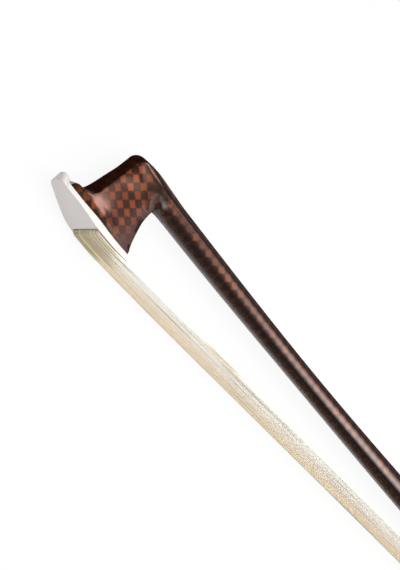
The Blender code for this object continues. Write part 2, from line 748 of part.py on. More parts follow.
def make_hair(hair):
    half = HAIR_THICKNESS / 2
    outlines = []
    turn = Matrix.Rotation(-HEAD_TURN, 2)
    for place, outward, width in tip_hair_route():
        outlines.append(ribbon_outline(Vector(from_head(*place)), turn @ outward * half, width))
    up = Vector((0, half))
    head_side = HEEL_DISTANCE - HAIR_SPREAD
    mouth = FROG_FRONT
    for share in (0.0, 0.25, 0.5, 0.75, 1.0):
        place = Vector((mix(head_side, mouth, share), HAIR_HEIGHT))
        outlines.append(ribbon_outline(place, up, mix(HAIR_HALF_HEAD, HAIR_HALF_FERRULE, share)))
    wedge_rear = FROG_FRONT - GAP - WEDGE_LENGTH
    channel_half = CHANNEL_HALF_WIDTH - GAP
    inner_half = FROG_MORTISE_HALF_WIDTH - GAP
    outlines.append(ribbon_outline(Vector((wedge_rear - GAP, HAIR_HEIGHT)), up, HAIR_HALF_FERRULE - 2 * GAP))
    outlines.append(ribbon_outline(Vector((FERRULE_REAR + GAP, CHANNEL_HAIR)), up, channel_half))
    outlines.append(ribbon_outline(Vector((FERRULE_REAR - HAIR_STEP, CHANNEL_HAIR)), up, channel_half))
    corner = Vector((FROG_MORTISE_START + GAP + half + HAIR_BEND, CHANNEL_HAIR - HAIR_BEND))
    for turned_by in (0, 30, 60, 90):
        angle = math.radians(turned_by)
        outward = Vector((-math.sin(angle), math.cos(angle)))
        outlines.append(ribbon_outline(corner + outward * HAIR_BEND, outward * half, inner_half))
    tail = Vector((corner.x - HAIR_BEND, CHANNEL_FLOOR - FROG_PLUG_DEPTH + GAP))
    outlines.append(ribbon_outline(tail, Vector((-half, 0)), inner_half))
    loft("hair_ribbon", outlines, hair)


# Sleeves on the handle


def sleeve(name, start, end, thickness, rings, finish):
    places = [mix(start, end, k / (rings - 1)) for k in range(rings)]
    outer = [stick_outline(x, GAP + thickness) for x in places]
    inner = [stick_outline(x, GAP) for x in places]
    loft(name, outer, finish, inner)


# Frog


def frog_half_width(x, y):
    heel_to_ferrule = smoothstep((x - FROG_REAR) / (FERRULE_REAR - FROG_REAR))
    foot = mix(FROG_HALF_WIDTH_HEEL, FERRULE_HALF_WIDTH, heel_to_ferrule)
    flare = max((y - FROG_FLARE_START) / (FERRULE_CENTRE - FROG_FLARE_START), 0.0)
    return mix(FROG_HALF_WIDTH_TOP, foot, min(flare, 1.0) ** 2)


def frog_outline(x):
    """Half of the frog's outer section, from the stick side to the hair side."""
    inset = HEEL_RADIUS - min(x - FROG_REAR, HEEL_RADIUS)
    face = FROG_FACE - HEEL_RADIUS + math.sqrt(HEEL_RADIUS ** 2 - inset ** 2)
    outline = [(x, FROG_CHEEK_TOP, 0.0)]
    steps = 10
    for k in range(steps + 1):
        y = mix(FROG_CHEEK_TOP, face - FROG_EDGE, k / steps)
        outline.append((x, y, frog_half_width(x, y)))
    outline.append((x, face, frog_half_width(x, face) - FROG_EDGE))
    outline.append((x, face, 0.0))
    return outline


def frog_form(name, finish=None):
    steps = 5
    turns = [k / steps * math.pi / 2 for k in range(steps + 1)]
    places = [FROG_REAR + HEEL_RADIUS * (1 - math.cos(turn)) for turn in turns]
    rest = FROG_FRONT - TONGUE_SETBACK - places[-1]
    places += [places[-1] + rest * k / 6 for k in range(1, 7)]
    return loft(name, [frog_outline(x) for x in places], finish)


def track_outline(lift, top):
    """The stick's three lower facets, moved out by lift, closed at a height near the stick."""
    reach = HANDLE_RADIUS + lift
    shoulder = reach * (1 + FLAT_SHARE) - top
    flat = reach * FLAT_SHARE
    return [(top, shoulder), (reach, flat), (reach, -flat), (top, -shoulder)]


def d_outline(half_width, face, side):
    """A flat towards the hair, short straight sides and a round back."""
    centre = face - side
    steps = 24
    turns = [math.pi * k / steps for k in range(steps + 1)]
    arc = [(centre - half_width * math.sin(a), half_width * math.cos(a)) for a in turns]
    return [(face, half_width), *arc, (face, -half_width)]


def heel_strip(outer, inner, top, end):
    """Side view of a strip that follows the back of the heel, its round and its face."""
    turns = [math.radians(15 * k) for k in range(7)]
    centre = Vector((FROG_REAR + HEEL_RADIUS, FROG_FACE - HEEL_RADIUS))

    def edge(depth):
        reach = HEEL_RADIUS - depth
        arc = [centre + Vector((-math.cos(a), math.sin(a))) * reach for a in turns]
        return [(FROG_REAR + depth, top), *((p.x, p.y) for p in arc), (end, FROG_FACE - depth)]

    return [*edge(outer), *reversed(edge(inner))]


def dovetail(near_face, near_back, clearance):
    """Section of the slide between two depths, wider inside than at the face."""
    depth = FROG_FACE - BACKING_INNER
    rows = []
    for y in (near_face, near_back):
        half = SLIDE_HALF_WIDTH + SLIDE_UNDERCUT * (FROG_FACE - y) / depth + clearance
        rows.append((y, half))
    return [*rows, *((y, -half) for y, half in reversed(rows))]


def make_frog_block(ebony):
    block = frog_form("frog_block", ebony)
    width = 4 * FERRULE_HALF_WIDTH
    middle = FROG_REAR + FROG_LENGTH / 2
    reach = 1.2 * FROG_LENGTH
    above = -HANDLE_RADIUS / 2
    track = track_outline(2 * GAP + UNDERSLIDE_THICKNESS, above)
    boolean(block, sheet_outline("track_cut", [track], reach, along_bow(middle)))
    boolean(block, throat_cut())
    boolean(block, tongue_cut(width))
    rebate = heel_strip(-HEEL_OVERCUT, HEEL_PLATE_THICKNESS + GAP, HEEL_PLATE_TOP - GAP, SLIDE_START - GAP)
    boolean(block, sheet_outline("heel_rebate", [rebate], width, across_bow()))
    slot = dovetail(FROG_FACE + 4 * GAP, BACKING_INNER - GAP, GAP)
    slot_start = SLIDE_START - 2 * GAP
    slot_length = FERRULE_REAR + GAP - slot_start
    slot_middle = slot_start + slot_length / 2
    boolean(block, sheet_outline("slide_cut", [slot], slot_length, along_bow(slot_middle)))
    channel_low = (FROG_MORTISE_START, CHANNEL_FLOOR, -CHANNEL_HALF_WIDTH)
    channel_high = (FERRULE_REAR, FROG_FACE, CHANNEL_HALF_WIDTH)
    boolean(block, box("channel_cut", channel_low, channel_high))
    mortise_low = (FROG_MORTISE_START, CHANNEL_FLOOR - FROG_MORTISE_DEPTH, -FROG_MORTISE_HALF_WIDTH)
    mortise_high = (FROG_MORTISE_END, FROG_FACE, FROG_MORTISE_HALF_WIDTH)
    boolean(block, box("frog_mortise", mortise_low, mortise_high))
    for side, sign in (("left", 1), ("right", -1)):
        floor = sign * (FROG_HALF_WIDTH_TOP - EYE_THICKNESS - GAP)
        start = (EYE_PLACE, EYE_HEIGHT, floor)
        end = (EYE_PLACE, EYE_HEIGHT, sign * width)
        boolean(block, cylinder("eye_cut_" + side, EYE_RING_DIAMETER / 2 + GAP, start, end))
    post_floor = HANDLE_RADIUS + EYELET_POST_DEPTH + GAP
    post_start = (EYELET_PLACE, 0, 0)
    radius = EYELET_POST_DIAMETER / 2 + GAP
    boolean(block, cylinder("post_hole", radius, post_start, (EYELET_PLACE, post_floor, 0)))
    for pin in PINS:
        boolean(block, pin_hole(pin, "block"))


def tongue_cut(width):
    """Leaves the tongue that the ferrule slips over: round below and flat under the hair."""
    length = FERRULE_LENGTH + 2 * GAP
    middle = FERRULE_REAR - GAP + length / 2
    over = FERRULE_CENTRE - FERRULE_HALF_WIDTH - GAP
    under = FROG_FACE + width
    around = [(over, width), (over, -width), (under, -width), (under, width)]
    radius = FERRULE_HALF_WIDTH - FERRULE_WALL - GAP
    flat = math.asin((FERRULE_CENTRE - CHANNEL_FLOOR + TONGUE_DROP) / radius)
    steps = 24
    tongue = []
    for k in range(steps + 1):
        turn = mix(flat, math.pi - flat, k / steps)
        tongue.append((FERRULE_CENTRE - radius * math.sin(turn), radius * math.cos(turn)))
    return sheet_outline("tongue_cut", [around, tongue], length, along_bow(middle))


def throat_cut():
    """The round groove between the ferrule and the thumb projection, turned about the ferrule's middle."""
    floor = math.hypot(FERRULE_HALF_WIDTH, FERRULE_SIDE)
    throat_x = FROG_FRONT - THROAT_SETBACK
    tip = PROJECTION_TIP
    first = math.asin((floor - THROAT_DEPTH) / THROAT_RADIUS)
    last = math.acos((tip - throat_x) / THROAT_RADIUS)
    start_turn = math.pi - first
    arc = []
    steps = 12
    for k in range(steps + 1):
        turn = mix(start_turn, last, k / steps)
        arc.append((throat_x + THROAT_RADIUS * math.cos(turn), THROAT_DEPTH + THROAT_RADIUS * math.sin(turn)))
    beyond = FROG_FRONT + FERRULE_LENGTH
    top = FERRULE_CENTRE + HANDLE_RADIUS
    profile = [(beyond, floor), *arc, (tip, top), (beyond, top)]
    return turned("throat_cut", list(reversed(profile)), FERRULE_CENTRE, steps=48)


def make_ferrule(silver):
    outer = d_outline(FERRULE_HALF_WIDTH, FROG_FACE, FERRULE_SIDE)
    inner_face = FROG_FACE - FERRULE_WALL
    inner = d_outline(FERRULE_HALF_WIDTH - FERRULE_WALL, inner_face, FERRULE_SIDE - FERRULE_WALL)
    middle = FERRULE_REAR + FERRULE_LENGTH / 2
    sheet_outline("ferrule", [outer, inner], FERRULE_LENGTH, along_bow(middle), silver)


def make_spread_wedge(wood):
    top = HAIR_INNER - GAP
    front = FROG_FRONT - GAP
    rear = front - WEDGE_LENGTH
    inner_radius = FERRULE_HALF_WIDTH - FERRULE_WALL
    lowest = FERRULE_CENTRE - (top - WEDGE_THICKNESS)
    half = math.sqrt(inner_radius ** 2 - lowest ** 2) - GAP
    piece = box("spread_wedge", (rear, top - WEDGE_THICKNESS, -half), (front, top, half), wood)
    for vertex in piece.data.vertices:
        if vertex.co.x < (rear + front) / 2 and vertex.co.y < top - WEDGE_THICKNESS / 2:
            vertex.co.y = top - WEDGE_REAR_THICKNESS


def make_frog_plug(wood):
    low = (FROG_MORTISE_START + HAIR_SLOT, CHANNEL_FLOOR - FROG_PLUG_DEPTH, -FROG_MORTISE_HALF_WIDTH + GAP)
    high = (FROG_MORTISE_END - GAP, CHANNEL_FLOOR, FROG_MORTISE_HALF_WIDTH - GAP)
    box("frog_plug", low, high, wood)


def make_frog_knot(thread):
    wide = FROG_MORTISE_HALF_WIDTH - GAP
    low = (FROG_MORTISE_START + GAP, CHANNEL_FLOOR - FROG_MORTISE_DEPTH + GAP, -wide)
    high = (FROG_MORTISE_END - GAP, CHANNEL_FLOOR - FROG_PLUG_DEPTH - GAP, wide)
    knot("frog_hair_knot", low, high, thread)


def make_slide(pearl, ebony):
    length = FERRULE_REAR - GAP - SLIDE_START
    middle = SLIDE_START + length / 2
    face = dovetail(FROG_FACE, PEARL_INNER, 0)
    sheet_outline("pearl_slide", [face], length, along_bow(middle), pearl)
    backing = dovetail(BACKING_OUTER, BACKING_INNER, 0)
    sheet_outline("slide_backing", [backing], length, along_bow(middle), ebony)


def make_heel_plates(silver):
    width = 4 * FERRULE_HALF_WIDTH
    end = FROG_REAR + HEEL_PLATE_REACH
    wrap = heel_strip(-HEEL_OVERCUT, HEEL_PLATE_THICKNESS, HEEL_PLATE_SEAM, end)
    lower = sheet_outline("heel_plate_lower", [wrap], width, across_bow(), silver)
    boolean(lower, frog_form("heel_form_lower"), "INTERSECT")
    outer = FROG_REAR - HEEL_OVERCUT
    inner = FROG_REAR + HEEL_PLATE_THICKNESS
    low = HEEL_PLATE_TOP
    high = HEEL_PLATE_SEAM - GAP
    flat = [(outer, low), (inner, low), (inner, high), (outer, high)]
    back = sheet_outline("heel_plate_back", [flat], width, across_bow(), silver)
    boolean(back, frog_form("heel_form_back"), "INTERSECT")
    for name, plate in (("heel_pin_1", lower), ("heel_pin_2", lower), ("heel_pin_3", back)):
        boolean(plate, pin_hole(name, "plate"))


def make_underslide(silver):
    lift = GAP + UNDERSLIDE_THICKNESS
    top = FROG_CHEEK_TOP + GAP
    outer = track_outline(lift, top)
    inner = track_outline(GAP, top)
    front = PROJECTION_TIP - GAP
    length = front - FROG_REAR - GAP
    middle = front - length / 2
    lining = sheet_outline("underslide", [[*outer, *reversed(inner)]], length, along_bow(middle), silver)
    radius = EYELET_POST_DIAMETER / 2 + GAP
    reach = HANDLE_FLATS
    boolean(lining, cylinder("lining_hole", radius, (EYELET_PLACE, 0, 0), (EYELET_PLACE, reach, 0)))
    for name in ("underslide_pin_front", "underslide_pin_rear"):
        boolean(lining, pin_hole(name, "lining"))


def pin_hole(name, where):
    head, point = PINS[name]
    along = (Vector(point) - Vector(head)).normalized()
    start = Vector(head) - along * PIN_LENGTH
    end = Vector(point) + along * GAP
    return cylinder(name + "_hole_" + where, PIN_DIAMETER / 2 + GAP, start, end, sides=12)


def make_pins(silver):
    for name, (head, point) in PINS.items():
        cylinder(name, PIN_DIAMETER / 2, head, point, silver, sides=12)


def make_eyes(silver, pearl):
    ring_outer = EYE_RING_DIAMETER / 2
    ring_inner = ring_outer - EYE_RING_WALL
    turns = [2 * math.pi * k / 32 for k in range(32)]
    middle = FROG_HALF_WIDTH_TOP - EYE_THICKNESS / 2
    for side, sign in (("left", 1), ("right", -1)):
        circles = []
        for radius in (ring_outer, ring_inner):
            circle = [(EYE_PLACE + radius * math.cos(a), EYE_HEIGHT + radius * math.sin(a)) for a in turns]
            circles.append(circle)
        place = across_bow(sign * middle)
        sheet_outline("eye_ring_" + side, circles, EYE_THICKNESS, place, silver)
        low = (EYE_PLACE, EYE_HEIGHT, sign * (FROG_HALF_WIDTH_TOP - EYE_THICKNESS))
        high = (EYE_PLACE, EYE_HEIGHT, sign * FROG_HALF_WIDTH_TOP)
        cylinder("eye_pearl_" + side, ring_inner - GAP, low, high, pearl)


def make_eyelet(brass):
    half = EYELET_LENGTH / 2
    start = (EYELET_PLACE - half, 0, 0)
    end = (EYELET_PLACE + half, 0, 0)
    eyelet = cylinder("eyelet", EYELET_DIAMETER / 2, start, end, brass)
    post_start = (EYELET_PLACE, 0, 0)
    post_end = (EYELET_PLACE, HANDLE_RADIUS + EYELET_POST_DEPTH, 0)
    post = cylinder("eyelet_post", EYELET_POST_DIAMETER / 2, post_start, post_end, sides=24)
    boolean(eyelet, post, "UNION")
    bore_start = (EYELET_PLACE - EYELET_LENGTH, 0, 0)
    bore_end = (EYELET_PLACE + EYELET_LENGTH, 0, 0)
    boolean(eyelet, cylinder("eyelet_bore", BORE_RADIUS, bore_start, bore_end))


# Screw and button


def make_screw(steel):
    start = (SCREW_START, 0, 0)
    cylinder("adjusting_screw", SCREW_DIAMETER / 2, start, (SCREW_END, 0, 0), steel, sides=24)


def make_button(ebony, silver, pearl):
    rear = BUTTON_RING_LENGTH + GAP
    front = BUTTON_LENGTH - BUTTON_RING_LENGTH - GAP
    apothem = BUTTON_FLATS / 2
    outlines = [
        round_outline(BARREL_START, BARREL_CORE),
        round_outline(rear, BARREL_CORE),
        octagon_outline(rear, apothem - CHAMFER),
        octagon_outline(rear + CHAMFER, apothem),
        octagon_outline(front - CHAMFER, apothem),
        octagon_outline(front, apothem - CHAMFER),
        round_outline(front, BARREL_CORE),
        round_outline(BARREL_END, BARREL_CORE),
    ]
    barrel = loft("button_barrel", outlines, ebony)
    hole_end = (BUTTON_LENGTH, 0, 0)
    boolean(barrel, cylinder("barrel_bore", BORE_RADIUS, (SCREW_START - GAP, 0, 0), hole_end, sides=24))
    pocket = BUTTON_EYE_DIAMETER / 2 + GAP
    boolean(barrel, cylinder("eye_pocket", pocket, (-GAP, 0, 0), (BUTTON_EYE_THICKNESS + GAP, 0, 0)))
    ring = BUTTON_RING_DIAMETER / 2
    wall = BUTTON_RING_WALL
    rear_profile = [
        (0, pocket),
        (0, ring),
        (BUTTON_RING_LENGTH, ring),
        (BUTTON_RING_LENGTH, ring - wall),
        (wall, ring - wall),
        (wall, pocket),
    ]
    turned("button_rear_ring", list(reversed(rear_profile)), finish=silver)
    nipple = NIPPLE_DIAMETER / 2 + GAP
    back = BUTTON_LENGTH - BUTTON_RING_LENGTH
    front_profile = [
        (back, ring - wall),
        (back, ring),
        (BUTTON_LENGTH, ring),
        (BUTTON_LENGTH, nipple),
        (BUTTON_LENGTH - wall, nipple),
        (BUTTON_LENGTH - wall, ring - wall),
    ]
    turned("button_front_ring", list(reversed(front_profile)), finish=silver)
    eye = BUTTON_EYE_DIAMETER / 2
    cylinder("button_pearl_eye", eye, (0, 0, 0), (BUTTON_EYE_THICKNESS, 0, 0), pearl)


def main():
    clear_scene()
    weave = material("lacquered_weave", (0.12, 0.045, 0.025), 0.2)
    polymer = material("white_polymer", (0.78, 0.77, 0.75), 0.3)
    wood = material("plain_wood", (0.55, 0.38, 0.22), 0.6)
    thread = material("bound_thread", (0.5, 0.42, 0.3), 0.8)
    hair = material("horsehair", (0.78, 0.7, 0.52), 0.5)
    leather = material("dark_leather", (0.03, 0.025, 0.022), 0.6)
    silver = material("silver", (0.75, 0.75, 0.73), 0.25, 1.0)
    ebony = material("ebony", (0.016, 0.013, 0.012), 0.35)
    pearl = material("mother_of_pearl", (0.72, 0.75, 0.74), 0.2)
    brass = material("brass", (0.7, 0.5, 0.2), 0.35, 1.0)
    steel = material("steel", (0.55, 0.55, 0.56), 0.3, 1.0)
    make_stick(weave)
    make_tip_plate(polymer)
    make_tip_plug(wood)
    make_tip_knot(thread)
    make_hair(hair)
    sleeve("thumb_grip", GRIP_START, GRIP_START + GRIP_LENGTH, GRIP_THICKNESS, 5, leather)
    sleeve("winding", WINDING_START, WINDING_START + WINDING_LENGTH, WINDING_THICKNESS, 9, silver)
    make_frog_block(ebony)
    make_ferrule(silver)
    make_spread_wedge(wood)
    make_frog_plug(wood)
    make_frog_knot(thread)
    make_slide(pearl, ebony)
    make_heel_plates(silver)
    make_underslide(silver)
    make_pins(silver)
    make_eyes(silver, pearl)
    make_eyelet(brass)
    make_screw(steel)
    make_button(ebony, silver, pearl)


main()
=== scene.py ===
"""Viola bow with a woven composite stick, lying on its side on a pale floor.

+X runs along the handle from the button to the head, +Y from the stick towards the hair, +Z across the bow.
All lengths are in metres.
"""

import json
import math
import random

import bmesh
import bpy
from bpy.props import FloatProperty, FloatVectorProperty, IntProperty, PointerProperty
from mathutils import Matrix, Vector


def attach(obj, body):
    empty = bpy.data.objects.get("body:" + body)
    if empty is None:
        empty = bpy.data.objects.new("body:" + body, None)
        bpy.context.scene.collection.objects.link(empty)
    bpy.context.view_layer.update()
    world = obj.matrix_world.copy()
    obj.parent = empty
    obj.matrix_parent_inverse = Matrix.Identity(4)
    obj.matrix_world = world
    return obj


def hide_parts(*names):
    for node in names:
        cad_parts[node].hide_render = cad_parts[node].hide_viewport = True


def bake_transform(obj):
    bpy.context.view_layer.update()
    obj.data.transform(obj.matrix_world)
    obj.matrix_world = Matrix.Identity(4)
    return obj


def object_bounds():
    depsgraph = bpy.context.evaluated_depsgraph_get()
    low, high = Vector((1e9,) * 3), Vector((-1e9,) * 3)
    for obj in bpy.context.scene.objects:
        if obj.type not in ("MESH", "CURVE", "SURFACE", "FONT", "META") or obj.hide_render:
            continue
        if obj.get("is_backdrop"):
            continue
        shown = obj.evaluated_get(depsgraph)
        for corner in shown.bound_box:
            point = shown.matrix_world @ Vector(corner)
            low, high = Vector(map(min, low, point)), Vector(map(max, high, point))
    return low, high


bl_info = {
    "name": "Viola Bow",
    "version": (1, 0, 0),
    "blender": (4, 5, 0),
    "location": "View3D > Sidebar > Viola Bow",
    "description": "Builds a viola bow with a woven composite stick, its hair, frog and fittings",
    "category": "Add Mesh",
}

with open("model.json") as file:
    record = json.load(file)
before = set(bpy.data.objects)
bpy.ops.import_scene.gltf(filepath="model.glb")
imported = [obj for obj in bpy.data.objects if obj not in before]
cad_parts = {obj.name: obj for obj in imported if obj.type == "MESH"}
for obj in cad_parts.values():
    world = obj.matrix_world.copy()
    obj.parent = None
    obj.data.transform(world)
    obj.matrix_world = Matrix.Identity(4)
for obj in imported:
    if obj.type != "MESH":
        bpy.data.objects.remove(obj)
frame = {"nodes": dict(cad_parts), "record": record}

# Stick
BUTT = 0.0158
NIPPLE_RADIUS = 0.0032
NIPPLE_LENGTH = 0.0018
HANDLE_RADIUS = 0.0045
CHAMFER = 0.0004
OCTAGON_END = 0.130
ROUND_START = 0.160
TAPER = (0.0088, 0.0087, 0.0084, 0.0081, 0.0078, 0.0075, 0.0070, 0.0064, 0.00565, 0.0066)
CAMBER_START = 0.095
CAMBER_PEAK_PLACE = 0.472
CAMBER_PEAK = 0.0165
STICK_RINGS = 90
STICK_RINGS_START = 0.02
BORE_RADIUS = 0.0018
BORE_END = 0.110
EYELET_SLOT = ((0.03579, -0.0026, -0.0026), (0.04871, 0.009, 0.0026))

# Head, in its own frame: x towards the tip along the stick, d towards the hair, from the middle of the heel
HEEL_DISTANCE = 0.722
HEEL_HEIGHT = 0.02285
HEAD_TURN = math.radians(6.56)
# Each section: x and d of its back and of its front, the half widths there, the front facet's share of the
# depth, and how far it is square-sided, takes the plate's width and follows the back of the plate
HEAD_SECTIONS = (
    (-0.0060, -0.01765, -0.0060, -0.02425, 0.00330, 0.00330, 0.250, 0.00, 0.00, 0.00),
    (-0.0026, -0.01762, -0.0005, -0.02460, 0.00335, 0.00315, 0.244, 0.10, 0.00, 0.00),
    (-0.0008, -0.01745, 0.0042, -0.02495, 0.00340, 0.00293, 0.201, 0.35, 0.00, 0.00),
    (0.0004, -0.01690, 0.0083, -0.02500, 0.00350, 0.00265, 0.165, 0.70, 0.00, 0.00),
    (0.0013, -0.01585, 0.0116, -0.02430, 0.00360, 0.00252, 0.130, 0.95, 0.00, 0.00),
    (0.0018, -0.01440, 0.0135, -0.02260, 0.00370, 0.00250, 0.112, 1.00, 0.00, 0.00),
    (0.0021, -0.01260, 0.0142, -0.02040, 0.00380, 0.00250, 0.105, 1.00, 0.00, 0.00),
    (0.0023, -0.01060, 0.0151, -0.01700, 0.00400, 0.00252, 0.099, 1.00, 0.05, 0.00),
    (0.0022, -0.00840, 0.0164, -0.01330, 0.00430, 0.00267, 0.095, 1.00, 0.15, 0.00),
    (0.0020, -0.00620, 0.0178, -0.00930, 0.00455, 0.00287, 0.092, 1.00, 0.35, 0.10),
    (0.0017, -0.00430, 0.0192, -0.00640, 0.00475, 0.00300, 0.090, 1.00, 0.60, 0.35),
    (0.0014, -0.00300, 0.0212, -0.00495, 0.00490, 0.00293, 0.077, 1.00, 0.85, 0.70),
    (0.0011, -0.00225, 0.0235, -0.00440, 0.00500, 0.00280, 0.050, 1.00, 1.00, 1.00),
)
SHAFT_D = -0.02095
HEAD_RINGS_PER_SECTION = 6
HEAD_FOOT_START = 0.0010
HEAD_FOOT_END = 0.0240
HEAD_FOOT_ROUND = 0.0003
HEAD_FOOT_SINK = 0.00004
CHEEK_BELLY = 0.00025
# Shares of the half outline at which the flat back ends and the front facet starts
BACK_SHARE = 3 / 16
FACET_SHARE = 13 / 16
FOOT_FRONT_SHARE = 14 / 16

# Painted shade over the weave, which darkens it towards a dark brown. Each pair is where a shade starts and
# how far on
# it is full: in shares of the half outline, in its points, or in sections of the head from the throat
STICK_TOP_SHARES = (0.58, 0.14)
STICK_UNDER_SHARES = (0.23, 0.20)
STICK_UNDER_END = (0, 3)
FRONT_POINTS = (-10, 4)
FRONT_START = (0, 4)
FRONT_END = (10, 1.5)
BACK_POINTS = (5, 3)
BACK_START = (0, 3)
LIP_SHARES = (0.55, 0.15)
LIP_START = (9.5, 1.5)
CHEEK_START = (0, 2)
# How dark each painted shade is, and how far the coat and the metal sheen are taken away there, which
# darkens it too
DARKEST = 0.96
UNDER_SHADE = 0.85
THROAT_SHADE = 0.85
SHAFT_SHADE = 0.62
BACK_SHADE = 0.8
HOLLOW_DULL = 0.75
# Middle of the part of the cheek that the painted shade leaves clear, its reach, and its height for its
# width
CLEAR_X = 0.7310
CLEAR_Y = 0.0105
CLEAR_RADIUS = 0.0036
CLEAR_FADE = 0.0050
CLEAR_STRETCH = 1.9
# How far the throat's shade reaches along the stick, and what share of that it reaches on the head
THROAT_FADE = 0.022
THROAT_HEAD_SHARE = 1 / 3
# The bottom of the throat, where the coat and the metal sheen are taken away so that it stays dark: painted
# shade
HOLLOW_X = 0.7208
HOLLOW_Y = 0.0030
HOLLOW_RADIUS = 0.0045

# Tip plate
PLATE_LENGTH = 0.0264
PLATE_WIDEST = 0.0105
PLATE_HALF_WIDTH = 0.0053
PLATE_HEEL_HALF_WIDTH = 0.0050
PLATE_NARROWING = 13.5
PLATE_CROWN_PLACE = 0.010
PLATE_CROWN = 0.00066
PLATE_CURVE = 6.7
PLATE_HEEL_THICKNESS = 0.00145
PLATE_THICKENING = 0.03
PLATE_BEND_START = 0.012
PLATE_BEND_RUN = 0.009
PLATE_BEND = 0.0005
PLATE_THINNING = 0.0009
PLATE_HEEL_LEAN = 0.0009
PLATE_HEEL_RUN = 0.002
PLATE_EDGE_ROUND = 0.00016
PLATE_SHARP_ANGLE = math.radians(50)
PLATE_HEEL_PLACES = (0.0, 0.0008, 0.002, 0.004, 0.006, 0.008)
PLATE_STEPS = 14
BEAK_STEPS = 8
BEAK_START = 0.0243
BEAK_TOP_X = 0.0262
BEAK_TOP_D = -0.0044
BEAK_ROUND = 0.0022
BEAK_END_SHARE = 0.5
BEAK_TOP_SHARE = 0.5
BEAK_RISE = 4
SLOT_START = 0.0106
SLOT_END = 0.0119
SLOT_HALF_WIDTH = 0.0048
SLOT_EDGE_SHARE = 0.93

# Hair
HAIR_HEIGHT = 0.02345
HAIR_HALF_EXIT = 0.00475
HAIR_HALF_HEEL = 0.0051
HAIR_HALF_HEAD = 0.0054
HAIR_HALF_FERRULE = 0.0061
HAIR_SPREAD = 0.025
HAIR_BEND = 0.0006
HAIR_LIFT = 0.00038
HAIR_SLOT_GAP = 0.0008
HAIR_ROOT_D = -0.0030
HAIR_PLATE_STEPS = 12
HAIR_SPREAD_STEPS = 6
HAIR_RUN_STEPS = 14
HAIR_WANDER = 0.008
HAIR_STRAY = 0.006
HAIR_WAVE = 0.6
HAIR_EDGE_SHARE = 0.99
HAIR_SINK = 0.00009
HAIR_RISE = 0.00002
HAIR_TONE_SHIFT = 0.00006
HAIR_SEED = 11
RIBBON_HALF_THICKNESS = 0.00021
RIBBON_COLUMNS = 25
RIBBON_CROWN = 0.0003
RIBBON_EDGE_SHARE = 0.985
RIBBON_CORE_SHARE = 0.85
FERRULE_MOUTH = 0.0705
HAIR_END = 0.0590
HAIR_END_TUCK = 0.0003

# Grip and winding
GRIP_START = 0.0651
GRIP_END = 0.0929
GRIP_THICKNESS = 0.0012555
GRIP_ROUND = 0.0012
GRIP_GAP = 0.00005
GRIP_LAP = 0.00012
GRIP_LAP_TURNS = (math.pi * 0.9, math.pi * 1.12)
GRIP_RINGS = 28
GRIP_RING_POINTS = 48
# How far the leather rounds the octagon's corners off, and to what share of the handle's radius
GRIP_ROUNDING = 0.35
GRIP_ROUND_REACH = 1.03
WINDING_START = 0.0934
WINDING_END = 0.1632
WINDING_GAP = 0.0001
WINDING_STEPS = 24

# Camera: where the middle of the heel's outer face lies in the 400 x 570 picture, and the scale there
PICTURE_WIDTH = 400
PICTURE_HEIGHT = 570
HEEL_PIXEL = (113.6, 261.6)
PIXELS_PER_METRE = 4160.0
CAMERA_DISTANCE = 0.95
SENSOR = 36.0
CAMERA_BACK = (0.477, 0.449, 0.756)
CAMERA_UP = (0.691, -0.723, -0.006)

# Soft boxes: place, the point they face, width, height, power and tint. Those in the plane z = 0.62 make
# the reflections along the head's facets, the throat and the stick
LAMPS = {
    "overhead": ((0.76, 0.05, 0.36), (0.715, 0.01, 0), 0.32, 0.32, 1.6, "#FFFFFF"),
    "top_box": ((0.12, -0.03, 0.62), (0.12, -0.03, 0), 0.32, 0.54, 2.9, "#FFF6F0"),
    "back_box": ((0.055, -0.46, 0.62), (0.055, -0.46, 0), 0.41, 0.34, 0.72, "#FFCEC8"),
    "ridge_box": ((0.44, -0.50, 0.62), (0.44, -0.50, 0), 0.08, 0.22, 0.20, "#FFC8B4"),
    "notch_box": ((0.34, -0.80, 0.62), (0.34, -0.80, 0), 0.22, 0.22, 1.9, "#FFC8B8"),
    "throat_box": ((0.25, -0.41, 0.62), (0.25, -0.41, 0), 0.07, 0.15, 0.26, "#FFD2C4"),
    "fill": ((0.80, 0.42, 0.20), (0.715, 0.01, 0), 0.35, 0.35, 0.42, "#FFFFFF"),
    "middle_light": ((0.48, -0.02, 0.62), (0.40, 0.01, 0), 0.30, 0.20, 0.42, "#FFC8B0"),
    "handle_light": ((0.05, 0.14, 0.62), (0.06, 0.01, 0), 0.5, 0.5, 2.4, "#FFFFFF"),
}
FLOOR_GAP = 0.00002
FLOOR_HALF = 4.0
FLOOR_GLOW = 0.92
WORLD_LIGHT = 0.22


def linear(code):
    """An sRGB hex colour as linear red, green and blue."""
    values = []
    for k in (1, 3, 5):
        value = int(code[k : k + 2], 16) / 255
        values.append(value / 12.92 if value <= 0.04045 else ((value + 0.055) / 1.055) ** 2.4)
    return tuple(values)


def colour_property(name, description, code):
    return FloatVectorProperty(
        name=name, description=description, subtype="COLOR", size=3, min=0, max=1, default=linear(code)
    )


def length_property(name, description, default):
    return FloatProperty(name=name, description=description, default=default, unit="LENGTH", precision=5)


class BowSizes(bpy.types.PropertyGroup):
    """Sizes that a user would change"""

    weave_cell: length_property("Weave cell", "Width of one tow of the weave", 0.00206)
    arris: length_property("Arris", "Radius of the head's worked edges", 0.00035)
    hairs: IntProperty(
        name="Hairs", description="Loose hairs drawn on each face of the ribbon", default=74, min=8
    )
    hair_radius: length_property("Hair radius", "Half the thickness of one hair", 0.00009)
    wire_pitch: length_property("Wire pitch", "Distance between turns of the winding", 0.00036)
    edge_round: length_property("Edge round", "Rounding of the fittings' edges", 0.00012)


